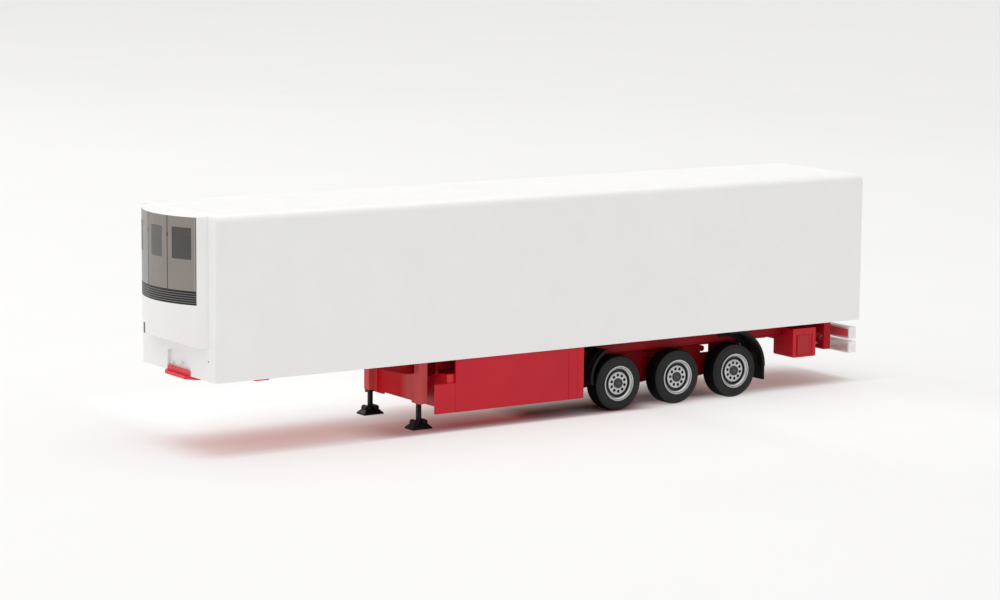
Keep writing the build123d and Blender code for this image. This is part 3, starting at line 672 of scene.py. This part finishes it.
# %% Rim outline
DARK, BRIGHT, GREY = 0, 1, 2
RIM_OUTLINE = (
    (0.0, 0.09, GREY), (0.34, 0.1, GREY), (0.4, 0.16, DARK), (0.47, 0.22, DARK), (0.55, 0.22, DARK),
    (0.6, 0.15, DARK), (0.92, 0.12, DARK), (1.0, 0.17, DARK), (1.05, 0.45, BRIGHT),
    (2.22, 0.45, BRIGHT), (2.32, 0.49, BRIGHT), (2.36, 0.56, DARK), (2.42, 0.95, DARK),
    (2.80, 1.0, DARK), (2.88, 0.66, GREY), (2.93, 0.46, BRIGHT), (3.2, 0.17, BRIGHT),
    (3.26, 0.14, DARK), (3.31, 0.15, DARK), (3.35, 0.06, BRIGHT), (3.44, 0.01, BRIGHT),
    (3.53, 0.0, BRIGHT), (3.585, 0.03, DARK), (3.606, 0.1, DARK), (3.606, 4.1, DARK),
    (3.5, 4.18, DARK), (3.2, 4.15, DARK), (3.05, 3.0, DARK), (1.55, 2.6, DARK),
    (1.42, 4.05, DARK), (1.3, 4.18, DARK), (0.77, 4.18, DARK), (0.77, 1.82, DARK), (0.0, 1.82, DARK),
)
print("rim outline rows", len(RIM_OUTLINE), "radius", max(row[0] for row in RIM_OUTLINE), "mm")

# %% [markdown]
# Ten hand holes go round the disc. On the real wheel they let air reach the brake.
# They are cut once with a boolean, and each wheel gets a copy of the finished mesh. The cutter
# is ten short rods whose faces are dark, so the walls of the holes come out dark as well.

# %% Rim mesh
RIM_STEPS = 96
DISC_DEPTH = 0.45
HOLE_COUNT = 10
HOLE_CIRCLE = 1.68
HOLE_RADIUS = 0.33
HOLE_DEPTH = 0.4
HOLE_STEPS = 20


def hole_cutter():
    bm = bmesh.new()
    for number in range(HOLE_COUNT):
        angle = 2 * math.pi * number / HOLE_COUNT
        middle = Vector((HOLE_CIRCLE * math.sin(angle), -DISC_DEPTH, HOLE_CIRCLE * math.cos(angle))) * MM
        made = bmesh.ops.create_cone(
            bm, segments=HOLE_STEPS, cap_ends=True, depth=2 * HOLE_DEPTH * MM,
            radius1=HOLE_RADIUS * MM, radius2=HOLE_RADIUS * MM,
            matrix=Matrix.Translation(middle) @ Matrix.Rotation(math.pi / 2, 4, "X"),
        )
        for face in {f for v in made["verts"] for f in v.link_faces}:
            face.material_index = DARK
    return bpy.data.objects.new("hole_cutter", to_mesh("hole_cutter", bm))


def make_rim_mesh():
    blank = bpy.data.objects.new("rim_blank", to_mesh("rim_blank", turned(RIM_OUTLINE, RIM_STEPS)))
    cutter = hole_cutter()
    for piece in (blank, cutter):
        scene.collection.objects.link(piece)
        for finish in RIM_FINISHES:
            piece.data.materials.append(finish)
    cut = blank.modifiers.new("holes", "BOOLEAN")
    cut.operation = "DIFFERENCE"
    cut.object = cutter
    cut.solver = "EXACT"
    ready = blank.evaluated_get(bpy.context.evaluated_depsgraph_get())
    bm = bmesh.new()
    bm.from_mesh(bpy.data.meshes.new_from_object(ready))
    bpy.data.objects.remove(blank)
    bpy.data.objects.remove(cutter)
    data = to_mesh("rim_mesh", bm)
    for finish in RIM_FINISHES:
        data.materials.append(finish)
    return data


rim_mesh = make_rim_mesh()
print("rim faces", len(rim_mesh.polygons), "materials", len(rim_mesh.materials))

# %% [markdown]
# Six wheels stand on three axles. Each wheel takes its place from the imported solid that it
# stands for, so it turns about exactly the same line. The right-hand wheels are turned half
# round, with their outer side to the right.
# Real wheels never stop at the same angle, so each one gets a different turn, in radians.

# %% Wheels
WHEEL_TURNS = {
    "1_left": 0.05, "1_right": 0.33, "2_left": 0.21, "2_right": 0.44, "3_left": 0.12, "3_right": 0.56,
}
WHEEL_PARTS = (
    ("tyre", tyre_mesh, TYRE_FINISHES, "tyre_black"), ("rim", rim_mesh, RIM_FINISHES, "rim_silver"),
)


def wheel_place(wheel):
    """Where the wheel's outer side goes, and which way it faces."""
    low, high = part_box(f"tyre_{wheel}")
    middle = (low + high) / 2
    is_left = wheel.endswith("left")
    face_out = Matrix.Rotation(0 if is_left else math.pi, 4, "Z")
    return Matrix.Translation((middle.x, high.y if is_left else low.y, middle.z)) @ face_out


def turned_copy(mesh_data, name, turn):
    """The same mesh, turned about its own axis."""
    data = mesh_data.copy()
    data.name = name
    data.transform(Matrix.Rotation(turn, 4, "Y"))
    return data


for wheel, turn in WHEEL_TURNS.items():
    for part, source, finishes, slot in WHEEL_PARTS:
        node = f"{part}_{wheel}"
        body = f"wheelset_{wheel[0]}"
        data = turned_copy(source, f"{node}_mesh", turn)
        add_piece(f"dressed_{node}", data, finishes, body, wheel_place(wheel), [node])
print("wheels", len(WHEEL_TURNS))

# %% [markdown]
# The front of the cooling unit carries a print: three doors with mesh grilles over a band of
# louvres. A print is only a skin, and it follows the bow of the face. An image texture could
# hold it, but each field here is a thin shell bent to the same arc, which keeps its edges sharp
# from any distance. The arc goes through the two corners of the face and its foremost point.

# %% Helpers for shells on the bowed face
FACE_HALF = 11.1
FACE_BOW = 3.2
BOW_RADIUS = (FACE_HALF ** 2 + FACE_BOW ** 2) / (2 * FACE_BOW)
BOW_STEP = 0.35
BOW_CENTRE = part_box("cooling_unit")[1].x / MM - BOW_RADIUS
SHELL_SUNK = 0.03


def bow_point(across, height, lift):
    """A point on the face, so many mm left of the middle, up, and proud of the face."""
    angle = math.asin(across / BOW_RADIUS)
    reach = BOW_RADIUS + lift
    return Vector((BOW_CENTRE + reach * math.cos(angle), reach * math.sin(angle), height)) * MM


def bow_shell(bm, across, heights, lift):
    """A closed curved plate on the face, added to the bmesh."""
    low, high = heights
    section = ((low, -SHELL_SUNK), (low, lift), (high, lift), (high, -SHELL_SUNK))
    steps = max(1, round(abs(across[1] - across[0]) / BOW_STEP))
    rows = []
    for step in range(steps + 1):
        here = across[0] + (across[1] - across[0]) * step / steps
        rows.append([bm.verts.new(bow_point(here, height, depth)) for height, depth in section])
    for first, second in zip(rows, rows[1:]):
        for corner in range(4):
            after = (corner + 1) % 4
            bm.faces.new((first[corner], second[corner], second[after], first[after]))
    bm.faces.new(rows[0])
    bm.faces.new(list(reversed(rows[-1])))


print("the face is an arc of", round(BOW_RADIUS, 2), "mm radius")

# %% [markdown]
# The printed field is a warm grey with a fine screen of dots, the grilles are darker with a
# coarser one. A Voronoi texture with no randomness is a regular grid of dots, which is just what
# a printing screen looks like close up. A cloud of noise over it is the uneven ink.

# %% Helpers for prints
CLOUD_MM = 0.5
CLOUD_DETAIL = 6
CLOUD_SHARE = 0.35
CLOUD_DARKER = 0.72
INK_GLOSS_MM = 1.5
INK_DEPTH = 0.004
INK_STRENGTH = 0.3
DOT_EDGE = 0.8


def dot_screen(nodes, links, pitch_mm, coverage):
    """One inside the dots of a regular screen and nothing between them."""
    place = nodes.new("ShaderNodeTexCoord")
    parts = nodes.new("ShaderNodeSeparateXYZ")
    flat = nodes.new("ShaderNodeCombineXYZ")
    screen = nodes.new("ShaderNodeTexVoronoi")
    screen.voronoi_dimensions = "2D"
    screen.inputs["Scale"].default_value = 1 / (pitch_mm * MM)
    screen.inputs["Randomness"].default_value = 0.0
    links.new(place.outputs["Object"], parts.inputs["Vector"])
    links.new(parts.outputs["Y"], flat.inputs["X"])
    links.new(parts.outputs["Z"], flat.inputs["Y"])
    links.new(flat.outputs["Vector"], screen.inputs["Vector"])
    return between(nodes, links, screen.outputs["Distance"], 1.0, 0.0, coverage * DOT_EDGE, coverage)


def dotted_print(name, ground, dots, pitch_mm, coverage, roughness):
    """Ink in two tones: a ground with a regular screen of dots."""
    material, nodes, links = new_material(name)
    shader = nodes["Principled BSDF"]
    inside = dot_screen(nodes, links, pitch_mm, coverage)
    cloud = between(nodes, links, noise(nodes, links, CLOUD_MM, CLOUD_DETAIL), 0.0, CLOUD_SHARE)
    ink = mixed(nodes, links, cloud, ground, [value * CLOUD_DARKER for value in ground])
    links.new(mixed(nodes, links, inside, ink, dots), shader.inputs["Base Color"])
    gloss = between(nodes, links, noise(nodes, links, INK_GLOSS_MM), *roughness)
    links.new(gloss, shader.inputs["Roughness"])
    grained(nodes, links, shader, inside, INK_DEPTH, INK_STRENGTH)
    return material


print("a dot's soft edge takes", round(1 - DOT_EDGE, 2), "of its radius")

# %% [markdown]
# There are two fields and two grilles: the right-hand door has the paler field, and only the
# left-hand one has the dark grille. Lines, louvres and the strips at the edges are flat ink
# without dots, so they are made like a smooth plastic.

# %% Print finishes
FIELD_SCREEN = (0.22, 0.34, (0.42, 0.55))
GRILLE_SCREEN = (0.3, 0.4, (0.45, 0.6))
FLAT_INK = (0.3, 0.004)
FIELD_PRINT = dotted_print("field_print", linear(143, 136, 129), linear(133, 126, 119), *FIELD_SCREEN)
PALE_FIELD = dotted_print("pale_field_print", linear(156, 155, 152), linear(144, 143, 140), *FIELD_SCREEN)
GRILLE_PRINT = dotted_print("grille_print", linear(78, 77, 74), linear(60, 59, 57), *GRILLE_SCREEN)
PALE_GRILLE = dotted_print("pale_grille", linear(106, 105, 102), linear(88, 87, 84), *GRILLE_SCREEN)
DARK_PRINT = moulded(
    "dark_print", (0.017, 0.016, 0.015), (0.023, 0.022, 0.021), (0.36, 0.48), FLAT_INK,
    {"Specular IOR Level": 0.25},
)
LINE_PRINT = moulded("line_print", linear(62, 52, 46), linear(70, 60, 52), (0.4, 0.5), FLAT_INK, {})
PALE_PRINT = moulded("pale_print", linear(150, 149, 146), linear(143, 142, 139), (0.35, 0.5), FLAT_INK, {})
print("prints", FIELD_PRINT.name, GRILLE_PRINT.name, DARK_PRINT.name)

# %% [markdown]
# The fields are laid down in the order of printing: the ground first, then grilles and the
# louvre band. Each layer stands a few thousandths of a millimetre prouder than the last, so no
# two surfaces share the same place. Across counts to the left of the middle, heights from the
# floor, and the lift from the face, all in mm.

# %% Printed fields and grilles
FIELD_EDGE = 11.05
FIELD_HEIGHTS = (31.02, 44.83)
BAND_HEIGHTS = (28.4, 31.02)
DOOR_LINES = (-2.5, 4.56)
FIELD_LIFT = 0.012
BAND_LIFT = 0.014
GRILLE_LIFT = 0.02
DARK_GRILLES = (((5.8, 10.12), (36.9, 42.85)),)
PALE_GRILLES = (((-0.9, 3.0), (36.9, 42.7)), ((-10.2, -6.3), (36.9, 42.7)))
WHOLE_FACE = (-FIELD_EDGE, FIELD_EDGE)


def add_shells(name, finish, shells):
    """One printed layer: shells given as across range, heights and lift."""
    bm = bmesh.new()
    for across, heights, lift in shells:
        bow_shell(bm, across, heights, lift)
    return add_piece(name, to_mesh(name, bm), [finish], "trailer")


add_shells("front_field", FIELD_PRINT, [((DOOR_LINES[0], FIELD_EDGE), FIELD_HEIGHTS, FIELD_LIFT)])
add_shells("front_field_right", PALE_FIELD, [((-FIELD_EDGE, DOOR_LINES[0]), FIELD_HEIGHTS, FIELD_LIFT)])
add_shells("front_grille", GRILLE_PRINT, [(*grille, GRILLE_LIFT) for grille in DARK_GRILLES])
add_shells("front_grilles_pale", PALE_GRILLE, [(*grille, GRILLE_LIFT) for grille in PALE_GRILLES])
add_shells("louvre_band", DARK_PRINT, [(WHOLE_FACE, BAND_HEIGHTS, BAND_LIFT)])
print("field height", round(FIELD_HEIGHTS[1] - FIELD_HEIGHTS[0], 2), "mm, lift", FIELD_LIFT, "mm")

# %% [markdown]
# Fine lines go on top: five pale ribs that make the dark band a row of louvres, the gaps between
# the doors with a latch on each, a dark line at both outer edges, and a pale strip beside it.
# The small dark field low on the housing is taken to be an air vent.

# %% Printed lines
LOUVRE_RIBS = 5
LOUVRE_RIB_WIDTH = 0.07
RIB_START = 0.85
RIB_LIFT = 0.024
LINE_HALF = 0.12
LINE_LIFT = 0.018
LATCH_HALF = 0.22
LATCH_LIFT = 0.026
LATCH_HEIGHTS = (40.9, 41.7)
EDGE_LINE = 0.12
EDGE_LIFT = 0.02
STRIP_WIDTH = 0.28
STRIP_LIFT = 0.016
FRONT_VENT = ((-6.3, -5.0), (21.3, 23.3))


def louvre_ribs():
    pitch = (BAND_HEIGHTS[1] - BAND_HEIGHTS[0]) / (LOUVRE_RIBS + 1)
    lows = [BAND_HEIGHTS[0] + pitch * (number + RIB_START) for number in range(LOUVRE_RIBS)]
    return [(WHOLE_FACE, (low, low + LOUVRE_RIB_WIDTH), RIB_LIFT) for low in lows]


def door_lines():
    lines = [((x - LINE_HALF, x + LINE_HALF), FIELD_HEIGHTS, LINE_LIFT) for x in DOOR_LINES]
    lines += [((x - LATCH_HALF, x + LATCH_HALF), LATCH_HEIGHTS, LATCH_LIFT) for x in DOOR_LINES]
    heights = (BAND_HEIGHTS[0], FIELD_HEIGHTS[1])
    starts = (-FIELD_EDGE, FIELD_EDGE - EDGE_LINE)
    return lines + [((x, x + EDGE_LINE), heights, EDGE_LIFT) for x in starts]


def edge_strips():
    starts = (EDGE_LINE - FIELD_EDGE, FIELD_EDGE - EDGE_LINE - STRIP_WIDTH)
    return [((x, x + STRIP_WIDTH), FIELD_HEIGHTS, STRIP_LIFT) for x in starts]


add_shells("louvre_ribs", PALE_PRINT, louvre_ribs())
add_shells("front_lines", LINE_PRINT, door_lines())
add_shells("front_edge_strips", PALE_PRINT, edge_strips())
add_shells("front_vent", GRILLE_PRINT, [(*FRONT_VENT, GRILLE_LIFT)])
print("ribs", len(louvre_ribs()), "lines", len(door_lines()), "strips", len(edge_strips()))

# %% [markdown]
# Two short stubs stand in the recess under the cooling unit, where a real trailer has its hose
# couplings, and a black stud sits low on the front wall. A cylinder would do, but its rim would
# be knife-sharp. So a knob is a small outline turned round, with a rounded rim, and its foot is
# set a little into the wall that carries it.

# %% Stubs and stud
RECESS_DEPTH = 0.6
STUBS = ((-3.0, 15.6), (0.7, 16.0))
STUB_RADIUS = 0.28
STUB_REACH = 0.5
STUD_PLACE = (12.2, 17.85)
STUD_RADIUS = 0.14
STUD_REACH = 0.06
FRONT_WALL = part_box("box_body")[1].x / MM
KNOB_STEPS = 24
KNOB_FOOT = 0.05
KNOB_RIM = ((0.0, 1.0), (0.7, 1.0), (0.92, 0.88), (1.0, 0.6))


def knob_outline(radius, reach):
    """Radius and height rows, from the tip over the rounded rim down to the sunken foot."""
    tip = [(radius * wide, reach * high) for wide, high in KNOB_RIM]
    return tip + [(radius, -KNOB_FOOT), (0.0, -KNOB_FOOT)]


def knob(bm, origin, direction, radius, reach):
    """A short round peg with a rounded rim, standing on a flat face."""
    turn = Vector((0, 0, 1)).rotation_difference(Vector(direction)).to_matrix()
    rings = []
    for wide, height in knob_outline(radius, reach):
        ring = []
        for step in range(KNOB_STEPS if wide else 1):
            angle = 2 * math.pi * step / KNOB_STEPS
            corner = Vector((wide * math.cos(angle), wide * math.sin(angle), height))
            ring.append(bm.verts.new((Vector(origin) + turn @ corner) * MM))
        rings.append(ring)
    for low, high in zip(rings, rings[1:]):
        for step in range(KNOB_STEPS):
            after = (step + 1) % KNOB_STEPS
            corners = [low[step % len(low)], low[after % len(low)]]
            corners += [high[after % len(high)], high[step % len(high)]]
            bm.faces.new(list(dict.fromkeys(corners)))


bm = bmesh.new()
for across, height in STUBS:
    knob(bm, (FRONT_WALL - RECESS_DEPTH, across, height), (1, 0, 0), STUB_RADIUS, STUB_REACH)
add_piece("hose_stubs", to_mesh("hose_stubs", bm), [WHITE], "trailer")
bm = bmesh.new()
knob(bm, (FRONT_WALL, *STUD_PLACE), (1, 0, 0), STUD_RADIUS, STUD_REACH)
add_piece("front_stud", to_mesh("front_stud", bm), [BLACK], "trailer")
print("stubs", len(STUBS), "of", 2 * STUB_RADIUS, "mm, stud of", 2 * STUD_RADIUS, "mm")

# %% [markdown]
# The tool box has a door: a flat panel in a duller red, a round latch above it, and a fine dark seam round
# it. The seam could be a groove cut into the box, but at a tenth of a millimetre it only reads as a line,
# so four narrow panels lie nearly flush with the face. Their dark red is painted shade, in place of the
# shadow inside such a groove.

# %% Toolbox door
DOOR_ALONG = (-67.45, -64.35)
DOOR_HEIGHTS = (7.5, 11.65)
DOOR_LIFT = 0.015
SEAM_WIDTH = 0.13
SEAM_LIFT = 0.006
PANEL_SUNK = 0.04
PANEL_ROUNDING = 0.012
LATCH_PLACE = (-66.3, 12.1)
LATCH_RADIUS = 0.22
LATCH_REACH = 0.09
TOOLBOX_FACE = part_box("toolbox")[1].y / MM
# The seam's dark red is painted shade, in place of the shadow inside a groove.
SEAM_SHADE_RED = moulded(
    "seam_shade_finish", (0.27, 0.001, 0.008), (0.24, 0.0008, 0.007), (0.5, 0.6), (0.16, 0.006),
    {"Specular IOR Level": 0.2},
)
DOOR_RED = moulded(
    "door_red_finish", (0.43, 0.010, 0.014), (0.40, 0.009, 0.013), (0.34, 0.46), (0.18, 0.005),
    {"Specular IOR Level": 0.36},
)


def panel(bm, along, heights, lift):
    """A thin rectangular solid on the left face of the tool box."""
    low = (along[0], TOOLBOX_FACE - PANEL_SUNK, heights[0])
    high = (along[1], TOOLBOX_FACE + lift, heights[1])
    made = bmesh.ops.create_cube(bm, size=1.0)
    for corner in made["verts"]:
        corner.co = [(a + (b - a) * (c + 0.5)) * MM for a, b, c in zip(low, high, corner.co)]
    edges = {edge for corner in made["verts"] for edge in corner.link_edges}
    bmesh.ops.bevel(bm, geom=list(edges), offset=PANEL_ROUNDING * MM, segments=1, affect="EDGES")


def add_door():
    bm = bmesh.new()
    panel(bm, DOOR_ALONG, DOOR_HEIGHTS, DOOR_LIFT)
    knob(bm, (LATCH_PLACE[0], TOOLBOX_FACE, LATCH_PLACE[1]), (0, 1, 0), LATCH_RADIUS, LATCH_REACH)
    add_piece("toolbox_door", to_mesh("toolbox_door", bm), [DOOR_RED], "trailer")


def add_seam():
    bm = bmesh.new()
    heights = (DOOR_HEIGHTS[0] - SEAM_WIDTH, DOOR_HEIGHTS[1] + SEAM_WIDTH)
    for start in (DOOR_ALONG[0] - SEAM_WIDTH, DOOR_ALONG[1]):
        panel(bm, (start, start + SEAM_WIDTH), heights, SEAM_LIFT)
    for start in (DOOR_HEIGHTS[0] - SEAM_WIDTH, DOOR_HEIGHTS[1]):
        panel(bm, DOOR_ALONG, (start, start + SEAM_WIDTH), SEAM_LIFT)
    add_piece("toolbox_seam_shade", to_mesh("toolbox_seam_shade", bm), [SEAM_SHADE_RED], "trailer")


add_door()
add_seam()
print("door", round(DOOR_HEIGHTS[1] - DOOR_HEIGHTS[0], 2), "mm high, seam", SEAM_WIDTH, "mm wide")

# %% [markdown]
# The floor is a sheet of white acrylic, far larger than the view, that glows faintly as painted light. That
# is why its shadows are as pale as in a studio shot like this one: part of the floor's brightness doesn't
# come from the lamps, so nothing can shade it. Under the model the glow is cut back and tinted red, a
# painted shadow that keeps the floor there deep and red. Beside the model the glow is turned up a little,
# as painted light. Each cut or lift is one soft rectangle in a table. A painted image could hold the same,
# but nobody could read it.

# %% Painted shadows and light on the floor
# Each row, in mm: where it starts at the rear and ends at the front, where it starts on the far
# side and ends on the near side, then how much it takes from the red, green and blue glow.
# A positive share is painted shadow and a negative share is painted light.
PAINTED_SHADOW_AND_LIGHT_PATCHES = (
    ((-48.2, -36.2), (72.8, 81.8), (-12, 2), (11.5, 16.8), (0.24, 0.43, 0.47)),
    ((-84.2, -81.2), (-48.2, -36.2), (-16, -4), (8, 12.5), (0.42, 0.60, 0.63)),
    ((-27.2, -21.2), (33.8, 43.8), (-1, 13), (14.5, 15.9), (0.60, 0.68, 0.63)),
    ((-25.2, -17.2), (-0.2, 5.8), (-8, 3), (10, 14), (0.39, 0.20, 0.19)),
    ((-51.2, -41.2), (-25.2, -17.2), (-8, 3), (8, 12), (0.60, 0.44, 0.38)),
    ((-14.2, 15.8), (65.8, 75.8), (-60, -22), (-10, -3), (-0.20, -0.26, -0.25)),
    ((-36.2, -20.2), (63.8, 80.8), (15.2, 17), (24, 90), (-0.165, -0.135, -0.12)),
    ((-99.2, -74.2), (-36.2, -24.2), (11, 14), (26, 100), (-0.245, -0.245, -0.24)),
)


def patch(nodes, links, parts, edges):
    """One inside a rectangle on the floor and nothing outside, with soft edges."""
    rear, front, far, near = [[edge * MM for edge in pair] for pair in edges]
    inside = between(nodes, links, parts.outputs["X"], 0, 1, *rear)
    for axis, low, high, edge in (("X", 1, 0, front), ("Y", 0, 1, far), ("Y", 1, 0, near)):
        share = between(nodes, links, parts.outputs[axis], low, high, *edge)
        inside = arithmetic(nodes, links, "MULTIPLY", inside, share)
    return inside


print("floor patches", len(PAINTED_SHADOW_AND_LIGHT_PATCHES))

# %% [markdown]
# The glow starts as one colour, and each patch takes its share from it, as painted shadow, or adds to it,
# as painted light. A vector multiply and add does the three colour channels at once, so a patch needs one
# such node and not three. The glow also gets weaker with distance from a point beside the model, a painted
# fall-off of light over the floor.

# %% Painted glow of the floor
FLOOR_GLOW = 0.455
GLOW_WHITE = (1.0, 0.997, 0.993)
GLOW_CENTRE = (0.5, -0.2, 0)
GLOW_FALLOFF = (0.4, 1.1)
GLOW_FAR_SHARE = 0.74


def glow_with_painted_falloff(nodes, links):
    place = nodes.new("ShaderNodeTexCoord")
    away = nodes.new("ShaderNodeVectorMath")
    away.operation = "DISTANCE"
    away.inputs[1].default_value = GLOW_CENTRE
    links.new(place.outputs["Object"], away.inputs[0])
    far_glow = FLOOR_GLOW * GLOW_FAR_SHARE
    return between(nodes, links, away.outputs["Value"], FLOOR_GLOW, far_glow, *GLOW_FALLOFF)


def glow_with_painted_shadows(nodes, links):
    place = nodes.new("ShaderNodeTexCoord")
    parts = nodes.new("ShaderNodeSeparateXYZ")
    links.new(place.outputs["Object"], parts.inputs["Vector"])
    colour = None
    for *edges, taken in PAINTED_SHADOW_AND_LIGHT_PATCHES:
        step = nodes.new("ShaderNodeVectorMath")
        step.operation = "MULTIPLY_ADD"
        links.new(patch(nodes, links, parts, edges), step.inputs[0])
        step.inputs[1].default_value = [-share for share in taken]
        if colour is None:
            step.inputs[2].default_value = GLOW_WHITE
        else:
            links.new(colour, step.inputs[2])
        colour = step.outputs["Vector"]
    positive = nodes.new("ShaderNodeVectorMath")
    positive.operation = "MAXIMUM"
    positive.inputs[1].default_value = (0, 0, 0)
    links.new(colour, positive.inputs[0])
    return positive.outputs["Vector"]


print("glow from", FLOOR_GLOW, "to", round(FLOOR_GLOW * GLOW_FAR_SHARE, 3), "far away")

# %% [markdown]
# Last comes the sheet itself: a grid 24 m wide, so that its edge stays out of the photo's view.
# It is nearly matt, because a glossy floor would mirror the model.

# %% Floor
FLOOR_REACH = 12.0
FLOOR_SQUARES = 8
FLOOR_WHITE = (0.43, 0.428, 0.426)
FLOOR_WORN = (0.42, 0.418, 0.416)
FLOOR_ROUGHNESS = (0.8, 0.9)
FLOOR_SPECULAR = 0.15
STAIN_MM = 60.0
POLISH_MM = 14.0


def lit_acrylic():
    material, nodes, links = new_material("lit_acrylic")
    shader = nodes["Principled BSDF"]
    tone = between(nodes, links, noise(nodes, links, STAIN_MM), 0.0, 1.0)
    links.new(mixed(nodes, links, tone, FLOOR_WHITE, FLOOR_WORN), shader.inputs["Base Color"])
    polish = between(nodes, links, noise(nodes, links, POLISH_MM), *FLOOR_ROUGHNESS)
    links.new(polish, shader.inputs["Roughness"])
    shader.inputs["Specular IOR Level"].default_value = FLOOR_SPECULAR
    # The floor's emission is painted light: the glow, its fall-off, and the painted shadows under the
    # model.
    links.new(glow_with_painted_shadows(nodes, links), shader.inputs["Emission Color"])
    links.new(glow_with_painted_falloff(nodes, links), shader.inputs["Emission Strength"])
    return material


def make_floor():
    bm = bmesh.new()
    bmesh.ops.create_grid(bm, x_segments=FLOOR_SQUARES, y_segments=FLOOR_SQUARES, size=FLOOR_REACH)
    floor = bpy.data.objects.new("floor", to_mesh("floor", bm))
    floor.data.materials.append(lit_acrylic())
    scene.collection.objects.link(floor)
    return floor


print(make_floor().name, "reaches", FLOOR_REACH, "m each way")
